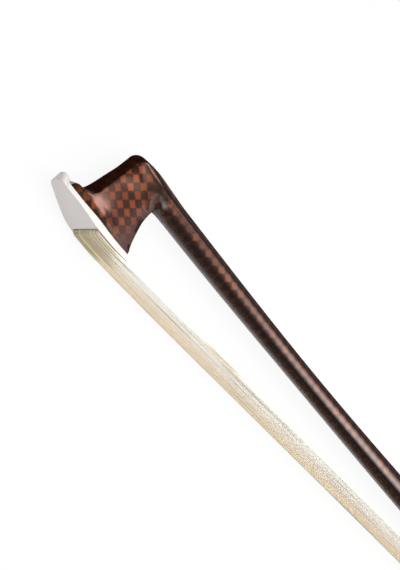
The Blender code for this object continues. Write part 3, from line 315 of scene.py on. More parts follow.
class BowColours(bpy.types.PropertyGroup):
    """Colours that a user would change"""

    copper: colour_property("Copper tow", "Bright cells of the weave", "#84481B")
    copper_deep: colour_property("Deep copper", "The same tow where it turns away", "#5A2F12")
    dark_tow: colour_property("Dark tow", "Dark cells of the weave", "#281514")
    resin: colour_property("Resin", "Tinted resin between the tows", "#28150C")
    # Colour that the painted shade darkens the weave towards
    painted_shade: colour_property("Dark lacquer", "Facets where no bright tow shows", "#1F0E0A")
    polymer: colour_property("Tip plate", "White polymer of the tip plate", "#CBC8C6")
    hair_light: colour_property("Light hair", "Bleached hairs", "#F4F1E8")
    # Painted shade on the lower side of the ribbon, in a creamier tone
    hair_shaded: colour_property("Cream hair", "Hairs on the lower side of the ribbon", "#F2E2C5")
    hair_dark: colour_property("Dark hair", "Khaki hairs", "#B5A889")
    hair_edge: colour_property("Hair edge", "Shaded lower edge of the ribbon", "#3E3628")
    leather: colour_property("Leather", "Thumb leather", "#2B2320")
    silver: colour_property("Silver", "Mountings and wire", "#D9D8D2")
    ebony: colour_property("Ebony", "Frog and button", "#1B1614")
    pearl: colour_property("Shell", "Slide and eyes", "#D8DEDC")


# Curves of the bow


def smoothstep(t):
    t = min(max(t, 0.0), 1.0)
    return t * t * (3 - 2 * t)


def fade(value, start, run):
    """Rises smoothly from 0 at the start to 1 a run further on."""
    return smoothstep((value - start) / run)


def mix(a, b, t):
    return a + (b - a) * t


def through(rows, t):
    """The smooth curve through the rows, at share t of the way along them."""
    place = t * (len(rows) - 1)
    i = min(int(place), len(rows) - 2)
    u = place - i
    before = rows[max(i - 1, 0)]
    after = rows[min(i + 2, len(rows) - 1)]
    values = []
    for p, a, b, n in zip(before, rows[i], rows[i + 1], after):
        bend = (b - p) * u + (2 * p - 5 * a + 4 * b - n) * u * u + (3 * a - p - 3 * b + n) * u ** 3
        values.append(a + bend / 2)
    return values


def from_head(x, d):
    """World x and y of a point in the head's own frame."""
    c = math.cos(HEAD_TURN)
    s = math.sin(HEAD_TURN)
    return HEEL_DISTANCE + x * c + d * s, HEEL_HEIGHT - x * s + d * c


THROAT_X, THROAT_Y = from_head(HEAD_SECTIONS[0][0], SHAFT_D)


def camber(x):
    """Height and slope of the stick's middle line."""
    if x <= CAMBER_START:
        return 0.0, 0.0
    if x <= CAMBER_PEAK_PLACE:
        run = CAMBER_PEAK_PLACE - CAMBER_START
        t = (x - CAMBER_START) / run
        return CAMBER_PEAK * smoothstep(t), CAMBER_PEAK * 6 * t * (1 - t) / run
    run = THROAT_X - CAMBER_PEAK_PLACE
    drop = CAMBER_PEAK - THROAT_Y
    end_slope = math.tan(HEAD_TURN)
    t = (x - CAMBER_PEAK_PLACE) / run
    height = CAMBER_PEAK - drop * smoothstep(t) - end_slope * run * (t ** 3 - t * t)
    slope = -drop * 6 * t * (1 - t) / run - end_slope * (3 * t * t - 2 * t)
    return height, slope


def stick_radius(x):
    if x <= OCTAGON_END:
        return HANDLE_RADIUS
    if x <= ROUND_START:
        return mix(HANDLE_RADIUS, TAPER[0] / 2, (x - OCTAGON_END) / (ROUND_START - OCTAGON_END))
    share = (x - ROUND_START) / (THROAT_X - ROUND_START)
    return through([(diameter,) for diameter in TAPER], min(share, 1.0))[0] / 2


def octagon_reach(turn):
    """Reach of an octagon of apothem 1 at an angle from the middle of a flat."""
    return 1 / math.cos((turn + math.pi / 8) % (math.pi / 4) - math.pi / 8)


def stick_reach(x, turn):
    """Reach of the stick's section, as a share of its radius: an octagon at the handle, then round."""
    roundness = fade(x, OCTAGON_END, ROUND_START - OCTAGON_END)
    return mix(octagon_reach(turn), 1.0, roundness)


def tip_share(x):
    """0 over the hair's part of the plate, 1 over its tip."""
    return fade(x, PLATE_BEND_START, PLATE_BEND_RUN)


def plate_face(x):
    """d of the plate's outer face: crowned along its length and bent in at its tip."""
    return PLATE_CROWN - PLATE_CURVE * (x - PLATE_CROWN_PLACE) ** 2 - PLATE_BEND * tip_share(x)


def plate_back(x):
    """d of the plate's inner face, thicker in the middle than at the heel and the tip."""
    return plate_face(x) - PLATE_HEEL_THICKNESS - PLATE_THICKENING * x + PLATE_THINNING * tip_share(x)


def plate_half_width(x):
    if x < PLATE_WIDEST:
        return mix(PLATE_HALF_WIDTH, PLATE_HEEL_HALF_WIDTH, ((PLATE_WIDEST - x) / PLATE_WIDEST) ** 2)
    return PLATE_HALF_WIDTH - PLATE_NARROWING * (x - PLATE_WIDEST) ** 2


# The hair's course


def stations():
    """Middle points, outward directions and half widths along the hair, from the head to the frog."""
    turn = Matrix.Rotation(-HEAD_TURN, 2)
    slot = SLOT_END - HAIR_SLOT_GAP
    corner = Vector((slot - HAIR_BEND, plate_face(slot - HAIR_BEND) + HAIR_LIFT - HAIR_BEND))
    local = [
        (Vector((slot, HAIR_ROOT_D)), Vector((1, 0)), HAIR_HALF_EXIT),
        (Vector((slot, corner.y)), Vector((1, 0)), HAIR_HALF_EXIT),
    ]
    for degrees in (30, 60, 90):
        outward = Vector((math.cos(math.radians(degrees)), math.sin(math.radians(degrees))))
        local.append((corner + outward * HAIR_BEND, outward, HAIR_HALF_EXIT))
    for k in range(1, HAIR_PLATE_STEPS + 1):
        share = 1 - k / HAIR_PLATE_STEPS
        x = corner.x * share
        outward = Vector((2 * PLATE_CURVE * (x - PLATE_CROWN_PLACE), 1)).normalized()
        place = Vector((x, plate_face(x))) + outward * HAIR_LIFT
        local.append((place, outward, mix(HAIR_HALF_HEEL, HAIR_HALF_EXIT, share)))
    places = [(Vector(from_head(*place)), turn @ outward, half) for place, outward, half in local]
    heel, heel_out, heel_half = places[-1]
    spread = Vector((HEEL_DISTANCE - HAIR_SPREAD, HAIR_HEIGHT))
    for k in range(1, HAIR_SPREAD_STEPS + 1):
        share = k / HAIR_SPREAD_STEPS
        place = heel.lerp(spread, share)
        place.y = mix(heel.y, HAIR_HEIGHT, 1 - (1 - share) ** 2)
        outward = heel_out.lerp(Vector((0, 1)), share).normalized()
        places.append((place, outward, mix(heel_half, HAIR_HALF_HEAD, share)))
    for k in range(1, HAIR_RUN_STEPS + 1):
        share = k / HAIR_RUN_STEPS
        place = Vector((mix(spread.x, FERRULE_MOUTH, share), HAIR_HEIGHT))
        places.append((place, Vector((0, 1)), mix(HAIR_HALF_HEAD, HAIR_HALF_FERRULE, share)))
    places.append((Vector((HAIR_END, HAIR_HEIGHT)), Vector((0, 1)), HAIR_HALF_FERRULE - HAIR_END_TUCK))
    return places


def crown(share):
    """How far the middle of the ribbon stands out beyond its edges."""
    return RIBBON_CROWN * (1 - share * share)


def ribbon_points(place, outward, half):
    """Ring of the closed ribbon that the loose hairs lie on."""
    points = []
    for side in (1, -1):
        for k in range(RIBBON_COLUMNS):
            share = mix(-RIBBON_EDGE_SHARE, RIBBON_EDGE_SHARE, k / (RIBBON_COLUMNS - 1)) * side
            middle = place + outward * (RIBBON_HALF_THICKNESS * RIBBON_CORE_SHARE * side + crown(share))
            points.append((middle.x, middle.y, share * half))
    return points


def hair_points(place, outward, height, across, radius):
    """Ring of one loose hair, square in section."""
    middle = place + outward * height
    points = []
    for quarter in range(4):
        out = radius * math.cos(quarter * math.pi / 2)
        side = radius * math.sin(quarter * math.pi / 2)
        points.append((middle.x + outward.x * out, middle.y + outward.y * out, across + side))
    return points


# Sections of the stick and the head, each the points over +Z from the hair side or the back to the far side


def section_shares(arris, back, chord):
    """Shares of the half outline at which its points lie, closer together at the two arrises."""
    near_back = BACK_SHARE * arris / back
    near_cheek = (FACET_SHARE - BACK_SHARE) * arris / chord
    shares = [0.0, 1 / 16, 2 / 16, BACK_SHARE - near_back, BACK_SHARE, BACK_SHARE + near_cheek]
    shares += [k / 32 for k in range(8, 25)]
    shares += [FACET_SHARE - near_cheek, FACET_SHARE, FACET_SHARE + near_back, 14 / 16, 15 / 16, 1.0]
    return shares


def rounded(points):
    """The half outline with a short curve in place of each of its two arris points."""
    for k in (len(points) - 5, 4):
        before, corner, after = (Vector(point) for point in points[k - 1 : k + 2])
        curve = []
        for t in (0.25, 0.5, 0.75):
            curve.append(tuple(before * (1 - t) ** 2 + corner * 2 * t * (1 - t) + after * t * t))
        points = [*points[:k], *curve, *points[k + 1 :]]
    return points


def stick_section(x, radius, arris):
    """Points of one ring of the stick, square to its middle line."""
    height, slope = camber(x)
    to_hair = Vector((-slope, 1)).normalized()
    points = []
    for share in section_shares(arris, TAPER[-1] / 2, TAPER[-1]):
        turn = math.pi * share
        reach = radius * stick_reach(x, turn)
        across = reach * math.cos(turn)
        points.append((x + to_hair.x * across, height + to_hair.y * across, reach * math.sin(turn)))
    return rounded(points)


def head_section(row, arris):
    """Points of one ring of the head, in the head's own frame."""
    back_x, back_d, front_x, front_d, back, front, facet, square, plate, sag = row
    chord = math.hypot(front_x - back_x, front_d - back_d)
    points = []
    for share in section_shares(arris, back, chord):
        turn = math.pi * share
        if share <= BACK_SHARE:
            depth = 0.0
            width = back * share / BACK_SHARE
        elif share <= FACET_SHARE:
            s = (share - BACK_SHARE) / (FACET_SHARE - BACK_SHARE)
            depth = s * (1 - facet)
            cheek = mix(back, front, s) + CHEEK_BELLY * 4 * s * (1 - s)
            width = mix(cheek, plate_half_width(mix(back_x, front_x, depth)), plate)
        else:
            s = (share - FACET_SHARE) / (1 - FACET_SHARE)
            edge = mix(front, plate_half_width(mix(back_x, front_x, 1 - facet)), plate)
            depth = 1 - facet + facet * s
            width = edge * (1 - s)
        depth = mix((1 - math.cos(turn)) / 2, depth, square)
        width = mix(back * math.sin(turn), width, square)
        x = mix(back_x, front_x, depth)
        along = (x - HEAD_FOOT_START) / (HEAD_FOOT_END - HEAD_FOOT_START)
        foot_chord = mix(plate_back(HEAD_FOOT_START), plate_back(HEAD_FOOT_END), along)
        d = mix(back_d, front_d, depth) + sag * (plate_back(x) - foot_chord)
        points.append((x, d, width))
    return rounded(points)


def head_foot(arris):
    """The head's last section, against the back of the plate."""
    points = []
    for share in section_shares(arris, PLATE_HALF_WIDTH, HEAD_FOOT_END):
        if share <= BACK_SHARE:
            x = HEAD_FOOT_START
            width = plate_half_width(x) * share / BACK_SHARE
        elif share <= FOOT_FRONT_SHARE:
            s = (share - BACK_SHARE) / (FOOT_FRONT_SHARE - BACK_SHARE)
            x = mix(HEAD_FOOT_START, HEAD_FOOT_END, s)
            width = plate_half_width(x)
        else:
            s = (share - FOOT_FRONT_SHARE) / (1 - FOOT_FRONT_SHARE)
            x = HEAD_FOOT_END + HEAD_FOOT_ROUND * s
            width = plate_half_width(x) * (1 - s)
        points.append((x, plate_back(x) + HEAD_FOOT_SINK, width))
    return rounded(points)


# Mesh helpers


def whole(half):
    """The full ring of a half outline: its points over +Z, then their mirror images."""
    return [*half, *((x, y, -z) for x, y, z in reversed(half[1:-1]))]


def first_ring(bm, points):
    """A closed ring of edges through the points."""
    ring = bmesh.ops.create_circle(bm, segments=len(points), radius=1)["verts"]
    for vertex, point in zip(ring, points):
        vertex.co = point
    return ring


def next_ring(bm, ring, points):
    """Extrudes rings and moves the new ones to their points."""
    chosen = set(ring)
    edges = {edge for vertex in ring for edge in vertex.link_edges if edge.other_vert(vertex) in chosen}
    grown = bmesh.ops.extrude_edge_only(bm, edges=list(edges))["geom"]
    fresh = {item for item in grown if isinstance(item, bmesh.types.BMVert)}
    new_ring = []
    for vertex, point in zip(ring, points):
        match = next(e.other_vert(vertex) for e in vertex.link_edges if e.other_vert(vertex) in fresh)
        match.co = point
        new_ring.append(match)
    return new_ring


def plain_object(bm, name):
    """Turns a finished mesh into an object of the scene."""
    bmesh.ops.recalc_face_normals(bm, faces=bm.faces)
    mesh = bpy.data.meshes.new(name)
    bm.to_mesh(mesh)
    bm.free()
    piece = bpy.data.objects.new(name, mesh)
    bpy.context.scene.collection.objects.link(piece)
    return piece


def to_object(bm, name, finish, body, replaced, smooth=math.radians(35)):
    """Turns a finished mesh into a piece that moves with a body and stands for a CAD node."""
    piece = plain_object(bm, name)
    piece.data.shade_smooth()
    piece.data.set_sharp_from_angle(angle=smooth)
    piece.data.materials.append(bpy.data.materials[finish])
    if body:
        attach(piece, body)
    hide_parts(replaced)
    return piece


def cut(piece, cutters):
    """Cuts closed shapes out of a piece for good."""
    for cutter in cutters:
        modifier = piece.modifiers.new("cut", "BOOLEAN")
        modifier.operation = "DIFFERENCE"
        modifier.solver = "EXACT"
        modifier.object = cutter
    bpy.context.view_layer.update()
    shaped = piece.evaluated_get(bpy.context.evaluated_depsgraph_get())
    mesh = bpy.data.meshes.new_from_object(shaped)
    piece.modifiers.clear()
    old = piece.data
    piece.data = mesh
    bpy.data.meshes.remove(old)
    mesh.name = piece.name
    for cutter in cutters:
        bpy.data.objects.remove(cutter)


def map_corners(bm, name, places):
    """Writes each vertex's place into a UV map, at every face corner."""
    layer = bm.loops.layers.uv.new(name)
    for face in bm.faces:
        for loop in face.loops:
            loop[layer].uv = places[loop.vert]


# Material helpers

# Shift of the weave, in cells, that puts its bright cells where the photo shows them
WEAVE_SHIFT = (-0.184, -0.088, 0)
# Places of the colour sockets of a Mix node
MIX_A = 6
MIX_B = 7
MIX_RESULT = 2


def add_node(tree, kind, inputs=None, **settings):
    """Adds one node with its settings and its inputs, each a socket that feeds it or a plain value."""
    node = tree.nodes.new(kind)
    for key, value in settings.items():
        setattr(node, key, value)
    for key, value in (inputs or {}).items():
        if isinstance(value, bpy.types.NodeSocket):
            tree.links.new(value, node.inputs[key])
        else:
            node.inputs[key].default_value = value
    return node


def new_material(name, colour, roughness, metallic=0.0):
    """A Principled material and its node tree and shader."""
    material = bpy.data.materials.new(name)
    material.use_nodes = True
    tree = material.node_tree
    shader = tree.nodes["Principled BSDF"]
    shader.inputs["Base Color"].default_value = (*colour, 1)
    shader.inputs["Roughness"].default_value = roughness
    shader.inputs["Metallic"].default_value = metallic
    return material, tree, shader


def object_place(tree):
    return add_node(tree, "ShaderNodeTexCoord").outputs["Object"]


def stretch(tree, place, scale):
    return add_node(tree, "ShaderNodeMapping", {"Vector": place, "Scale": scale}).outputs["Vector"]


def noise(tree, place, scale, detail, distortion=0.0, dimensions="3D"):
    """Cloudy noise, with its scale in clouds a metre where the place isn't stretched."""
    inputs = {"Vector": place, "Scale": scale, "Detail": detail, "Distortion": distortion}
    return add_node(tree, "ShaderNodeTexNoise", inputs, noise_dimensions=dimensions).outputs["Fac"]


def remap(tree, value, low, high, start=0.0, end=1.0, curve="LINEAR"):
    """Maps a value that runs from start to end on to one from low to high."""
    inputs = {"Value": value, "From Min": start, "From Max": end, "To Min": low, "To Max": high}
    return add_node(tree, "ShaderNodeMapRange", inputs, interpolation_type=curve).outputs["Result"]


def maths(tree, operation, *terms):
    return add_node(tree, "ShaderNodeMath", dict(enumerate(terms)), operation=operation).outputs[0]


def vector_maths(tree, operation, *terms):
    return add_node(tree, "ShaderNodeVectorMath", dict(enumerate(terms)), operation=operation).outputs[0]


def blend_colours(tree, share, first, second):
    inputs = {0: share, MIX_A: first, MIX_B: second}
    return add_node(tree, "ShaderNodeMix", inputs, data_type="RGBA").outputs[MIX_RESULT]


def ramp(tree, factor, stops):
    node = add_node(tree, "ShaderNodeValToRGB", {"Fac": factor})
    elements = node.color_ramp.elements
    while len(elements) < len(stops):
        elements.new(0.5)
    for element, (place, colour) in zip(elements, stops):
        element.position = place
        element.color = (*colour[:3], 1)
    return node.outputs["Color"]


def bump(tree, shader, height, strength, distance=0.0001, normal="Normal"):
    """Raises the surface, or the coat over it, by a distance where the height is 1."""
    inputs = {"Height": height, "Strength": strength, "Distance": distance}
    surface = add_node(tree, "ShaderNodeBump", inputs).outputs["Normal"]
    tree.links.new(surface, shader.inputs[normal])


# Materials


def lacquered_weave(colours, sizes):
    """Checked weave of copper-coloured and dark tows under polished clear lacquer.

    The tows show as 2 mm cells set at 45 degrees, and the lacquer lays one soft reflection over them.
    """
    material, tree, shader = new_material("lacquered_tow_weave", colours.copper, 0.42, 0.95)
    place = add_node(tree, "ShaderNodeUVMap", uv_map="weave").outputs["UV"]
    scale = 1 / sizes.weave_cell
    cells = {"Rotation": (0, 0, math.pi / 4), "Scale": (scale, scale, 1), "Location": WEAVE_SHIFT}
    turned = add_node(tree, "ShaderNodeMapping", {"Vector": place, **cells}).outputs["Vector"]
    checks = add_node(tree, "ShaderNodeTexChecker", {"Vector": turned, "Scale": 1.0}).outputs["Fac"]
    cell = vector_maths(tree, "FLOOR", turned)
    chances = add_node(tree, "ShaderNodeTexWhiteNoise", {"Vector": cell}, noise_dimensions="2D")
    # Resin closes in towards the edges of each cell
    from_middle = vector_maths(tree, "SUBTRACT", vector_maths(tree, "FRACTION", turned), (0.5, 0.5, 0))
    apart = vector_maths(tree, "ABSOLUTE", from_middle)
    axes = add_node(tree, "ShaderNodeSeparateXYZ", {"Vector": apart}).outputs
    seam = remap(tree, maths(tree, "MAXIMUM", axes["X"], axes["Y"]), 0.0, 0.6, 0.26, 0.50, "SMOOTHSTEP")
    # Each cell has a tone of its own, and the tone drifts over about 10 mm
    position = object_place(tree)
    drift = noise(tree, position, 95.0, 2.0)
    tone = maths(tree, "MULTIPLY_ADD", chances.outputs["Value"], 0.35, drift)
    bright = ramp(tree, tone, ((0.40, colours.copper_deep), (0.85, colours.copper)))
    dark = ramp(tree, tone, ((0.35, colours.resin), (0.95, colours.dark_tow)))
    seamed = blend_colours(tree, seam, blend_colours(tree, checks, bright, dark), (*colours.resin, 1))
    # The map "shade" holds painted shade: how far the weave is darkened, and how far its coat and metal
    # sheen are taken away
    shade_place = add_node(tree, "ShaderNodeUVMap", uv_map="shade").outputs["UV"]
    shades = add_node(tree, "ShaderNodeSeparateXYZ", {"Vector": shade_place}).outputs
    shaded = blend_colours(tree, shades["X"], seamed, (*colours.painted_shade, 1))
    tree.links.new(shaded, shader.inputs["Base Color"])
    tree.links.new(remap(tree, shades["Y"], 0.95, 0.0), shader.inputs["Metallic"])
    shader.inputs["Specular IOR Level"].default_value = 0.0
    # Long low waves of the hand-polished lacquer
    bump(tree, shader, noise(tree, position, 160.0, 1.0), 0.05, 0.0004, "Coat Normal")
    tree.links.new(remap(tree, shades["Y"], 1.0, 0.0), shader.inputs["Coat Weight"])
    shader.inputs["Coat Roughness"].default_value = 0.14


def moulded_polymer(colours):
    """White casting resin of the tip plate, filed and rubbed to a soft gloss."""
    material, tree, shader = new_material("moulded_polymer", colours.polymer, 0.34)
    # Rubbing marks, drawn about 0.8 mm apart so that they show
    marks = noise(tree, object_place(tree), 1200.0, 3.0)
    bump(tree, shader, marks, 0.05)
    tree.links.new(remap(tree, marks, 0.28, 0.42), shader.inputs["Roughness"])
    shader.inputs["Subsurface Weight"].default_value = 0.15
    shader.inputs["Subsurface Radius"].default_value = (0.001, 0.0008, 0.0006)


def bleached_horsehair(colours):
    """Straight bleached hair: cream with khaki strands, a soft gloss along its length."""
    material, tree, shader = new_material("bleached_horsehair", colours.hair_light, 0.42)
    place = add_node(tree, "ShaderNodeUVMap", uv_map="strand").outputs["UV"]
    # Strands 0.2 mm apart that change slowly along their length
    streak = noise(tree, stretch(tree, place, (5000.0, 22.0, 1.0)), 1.0, 2.0, dimensions="2D")
    spread = add_node(tree, "ShaderNodeSeparateXYZ", {"Vector": place}).outputs
    # Near the head, over the plate, the hairs are painted more khaki: painted shade for the light that
    # shines through them once they leave the plate
    loose = remap(tree, spread["Y"], -0.18, 0.11, 0.010, 0.018)
    khaki = ramp(tree, maths(tree, "ADD", streak, loose), ((0.34, (1, 1, 1)), (0.52, (0, 0, 0))))
    # Painted shade: the lower side of the ribbon is creamier and darker, and its lower edge darker still
    across = remap(tree, spread["X"], 0.0, 1.0, -0.0030, 0.0040, "SMOOTHSTEP")
    edge = remap(tree, spread["X"], 0.85, 0.0, -0.0052, -0.0048)
    pale = blend_colours(tree, across, (*colours.hair_shaded, 1), (*colours.hair_light, 1))
    strands = blend_colours(tree, khaki, pale, (*colours.hair_dark, 1))
    edged = blend_colours(tree, edge, strands, (*colours.hair_edge, 1))
    tree.links.new(edged, shader.inputs["Base Color"])
    bump(tree, shader, streak, 0.15)


def polished_silver(colours):
    """Rolled silver sheet, polished and a little handled: a soft mirror with duller patches."""
    material, tree, shader = new_material("polished_silver", colours.silver, 0.2, 1.0)
    # Handling marks, drawn about 1 mm apart so that they show
    marks = noise(tree, object_place(tree), 900.0, 4.0)
    tree.links.new(remap(tree, marks, 0.14, 0.34), shader.inputs["Roughness"])


def polished_ebony(colours):
    """Ebony turned and planed to a satin gloss: nearly black, with faint brown streaks along its grain."""
    material, tree, shader = new_material("polished_ebony", colours.ebony, 0.3)
    # Grain 0.6 mm wide that runs along the bow
    grain = noise(tree, stretch(tree, object_place(tree), (110.0, 1600.0, 1600.0)), 1.0, 4.0)
    streaked = ramp(tree, grain, ((0.45, colours.ebony), (0.8, linear("#3A2A22"))))
    tree.links.new(streaked, shader.inputs["Base Color"])
    bump(tree, shader, grain, 0.08)


def mother_of_pearl(colours):
    """Cut and polished shell: pale layers that turn from green to rose and blue."""
    material, tree, shader = new_material("polished_shell", colours.pearl, 0.18)
    # Layers of shell about 4 mm wide, drawn out and broken by the distortion
    layers = noise(tree, object_place(tree), 260.0, 3.0, distortion=1.6)
    green = linear("#B9D6CC")
    rose = linear("#E8D3DA")
    blue = linear("#C5D3E6")
    tones = ramp(tree, layers, ((0.30, green), (0.45, colours.pearl), (0.58, rose), (0.72, blue)))
    tree.links.new(tones, shader.inputs["Base Color"])
    shader.inputs["Coat Weight"].default_value = 0.6
    shader.inputs["Coat Roughness"].default_value = 0.08


def grained_leather(colours):
    """Thin dark goatskin: fine pebbled grain that breaks up a low sheen, with painted shade in its creases.
    """
    material, tree, shader = new_material("grained_leather", colours.leather, 0.55)
    # Pebbles 0.8 mm across
    cells = {"Vector": object_place(tree), "Scale": 1300.0}
    pebbles = add_node(tree, "ShaderNodeTexVoronoi", cells).outputs["Distance"]
    bump(tree, shader, pebbles, 0.35, 0.00015)
    # Painted shade in the hollows of the grain
    shade = ramp(tree, pebbles, ((0.1, linear("#1E1815")), (0.7, colours.leather)))
    tree.links.new(shade, shader.inputs["Base Color"])


def turned_metal(name, colour, roughness):
    """Brass or steel as it comes off the lathe: fine rings round its axis."""
    material, tree, shader = new_material(name, colour, roughness, 1.0)
    # Tool marks 0.6 mm apart along the bow, coarser than real ones so that they show
    marks = {"Vector": object_place(tree), "Scale": 520.0}
    rings = add_node(tree, "ShaderNodeTexWave", marks, bands_direction="X").outputs["Fac"]
    bump(tree, shader, rings, 0.15)


def dull_fibres(name, pale, dark, scale):
    """Sawn maple or tied thread: plain, pale and dull, with short fibres."""
    material, tree, shader = new_material(name, linear(pale), 0.7)
    fibres = noise(tree, stretch(tree, object_place(tree), scale), 1.0, 3.0)
    tones = ramp(tree, fibres, ((0.3, linear(dark)), (0.7, linear(pale))))
    tree.links.new(tones, shader.inputs["Base Color"])


# Pieces


class BOW_OT_stick(bpy.types.Operator):
    """Build the stick and head as one woven shell"""

    bl_idname = "viola_bow.stick"
    bl_label = "Stick and Head"

    def execute(self, context):
        arris = context.scene.bow_sizes.arris
        stick = self.stick_rings(arris)
        steps = (len(HEAD_SECTIONS) - 1) * HEAD_RINGS_PER_SECTION
        rows = [through(HEAD_SECTIONS, k / steps) for k in range(steps + 1)]
        head = [*(head_section(row, arris) for row in rows), head_foot(arris)]
        weave_rings = self.unrolled(stick, head, [*rows, rows[-1]])
        rings = stick + [[(*from_head(x, d), z) for x, d, z in ring] for ring in head]
        bm = bmesh.new()
        places = {}
        shades = {}
        current = None
        for n, (half, weave) in enumerate(zip(rings, weave_rings)):
            points = whole(half)
            current = first_ring(bm, points) if current is None else next_ring(bm, current, points)
            dark = [self.shade(k, len(half), point, n - len(stick)) for k, point in enumerate(half)]
            for vertex, place, tone in zip(current, [*weave, *weave[-2:0:-1]], [*dark, *dark[-2:0:-1]]):
                places[vertex] = place
                shades[vertex] = tone
        bmesh.ops.holes_fill(bm, edges=[e for e in bm.edges if e.is_boundary], sides=0)
        map_corners(bm, "weave", places)
        map_corners(bm, "shade", shades)
        piece = to_object(bm, "stick_and_head", "lacquered_tow_weave", "stick", "stick")
        cut(piece, [self.bore(), self.slot()])
        return {"FINISHED"}

    @staticmethod
    def stick_rings(arris):
        """Rings of the nipple, of the chamfered butt and of the stick as far as the throat."""
        rings = []
        for place in (BUTT - NIPPLE_LENGTH, BUTT):
            half = []
            for share in section_shares(arris, TAPER[-1] / 2, TAPER[-1]):
                turn = math.pi * share
                half.append((place, NIPPLE_RADIUS * math.cos(turn), NIPPLE_RADIUS * math.sin(turn)))
            rings.append(rounded(half))
        rings.append(stick_section(BUTT, HANDLE_RADIUS - CHAMFER, arris))
        rings.append(stick_section(BUTT + CHAMFER, HANDLE_RADIUS, arris))
        for k in range(STICK_RINGS):
            x = mix(STICK_RINGS_START, THROAT_X, k / STICK_RINGS)
            rings.append(stick_section(x, stick_radius(x), arris))
        return rings

    def unrolled(self, stick, head, rows):
        """Places of every ring on the unrolled weave, which runs on from the head down the stick."""
        middle = len(stick[0]) // 2
        weave_rings = []
        along = HEAD_SECTIONS[0][0]
        last = Vector((THROAT_X, THROAT_Y, stick[-1][middle][2]))
        for ring in reversed(stick):
            here = Vector(ring[middle])
            along -= (here - last).length
            last = here
            weave_rings.append(self.weave_places(ring, Vector((along, SHAFT_D)), Vector((0, -1))))
        weave_rings.reverse()
        for ring, row in zip(head, rows):
            to_front = Vector((row[2] - row[0], row[3] - row[1])).normalized()
            weave_rings.append(self.weave_places(ring, Vector(ring[middle][:2]), to_front))
        return weave_rings

    @staticmethod
    def shade(k, count, point, ring):
        """How far painted shade darkens the weave at a point, and how far the coat and the metal sheen are
        taken away there.

        k counts the half outline's points from the hair side of the stick or the back of the head, and ring
        counts the rings from the throat, below 0 on the stick.
        """
        x, y, _ = point
        share = k / (count - 1)
        section = ring / HEAD_RINGS_PER_SECTION
        # Painted shade on the stick's side away from the hair and on the front and back facets of the head,
        # where the coat and metal sheen are taken away too
        top = fade(share, *STICK_TOP_SHARES)
        front = fade(k - count, *FRONT_POINTS) * (1 - fade(section, *FRONT_END))
        back = (1 - fade(k, *BACK_POINTS)) * fade(section, *BACK_START)
        dull = max(mix(top, front, fade(section, *FRONT_START)), BACK_SHADE * back)
        # Painted shade on the cheek round its clear middle, apart from the lip over the tip plate
        far = math.hypot(x - CLEAR_X, (y - CLEAR_Y) / CLEAR_STRETCH)
        lip = fade(section, *LIP_START) * fade(share, *LIP_SHARES)
        cheek = DARKEST * fade(far, CLEAR_RADIUS, CLEAR_FADE) * (1 - lip) * fade(section, *CHEEK_START)
        # Painted shade on the stick, on its side towards the hair and at the throat
        shaft = SHAFT_SHADE * (1 - fade(section, *CHEEK_START))
        under = UNDER_SHADE * (1 - fade(share, *STICK_UNDER_SHARES)) * (1 - fade(section, *STICK_UNDER_END))
        reach = THROAT_FADE if x < THROAT_X else THROAT_FADE * THROAT_HEAD_SHARE
        throat = THROAT_SHADE * (1 - fade(abs(x - THROAT_X), 0, reach))
        hollow = HOLLOW_DULL * (1 - fade(math.hypot(x - HOLLOW_X, y - HOLLOW_Y), 0, HOLLOW_RADIUS))
        return max(DARKEST * dull, cheek, under, shaft, throat), max(dull, hollow)

    @staticmethod
    def weave_places(ring, base, direction):
        """Where each point of a half ring lies on the unrolled weave."""
        middle = len(ring) // 2
        places = [base] * len(ring)
        for step in (1, -1):
            run = 0.0
            k = middle
            while 0 <= k + step < len(ring):
                run += (Vector(ring[k + step]) - Vector(ring[k])).length
                k += step
                places[k] = base + direction * run * step
        return places

    @staticmethod
    def bore():
        bm = bmesh.new()
        place = Matrix.Translation((BORE_END / 2, 0, 0)) @ Matrix.Rotation(math.pi / 2, 4, "Y")
        bmesh.ops.create_cone(
            bm,
            cap_ends=True,
            segments=32,
            radius1=BORE_RADIUS,
            radius2=BORE_RADIUS,
            depth=BORE_END,
            matrix=place,
        )
        return plain_object(bm, "bore")

    @staticmethod
    def slot():
        low, high = (Vector(corner) for corner in EYELET_SLOT)
        bm = bmesh.new()
        place = Matrix.Translation((low + high) / 2) @ Matrix.Diagonal((*(high - low), 1))
        bmesh.ops.create_cube(bm, size=1, matrix=place)
        return plain_object(bm, "eyelet_slot")


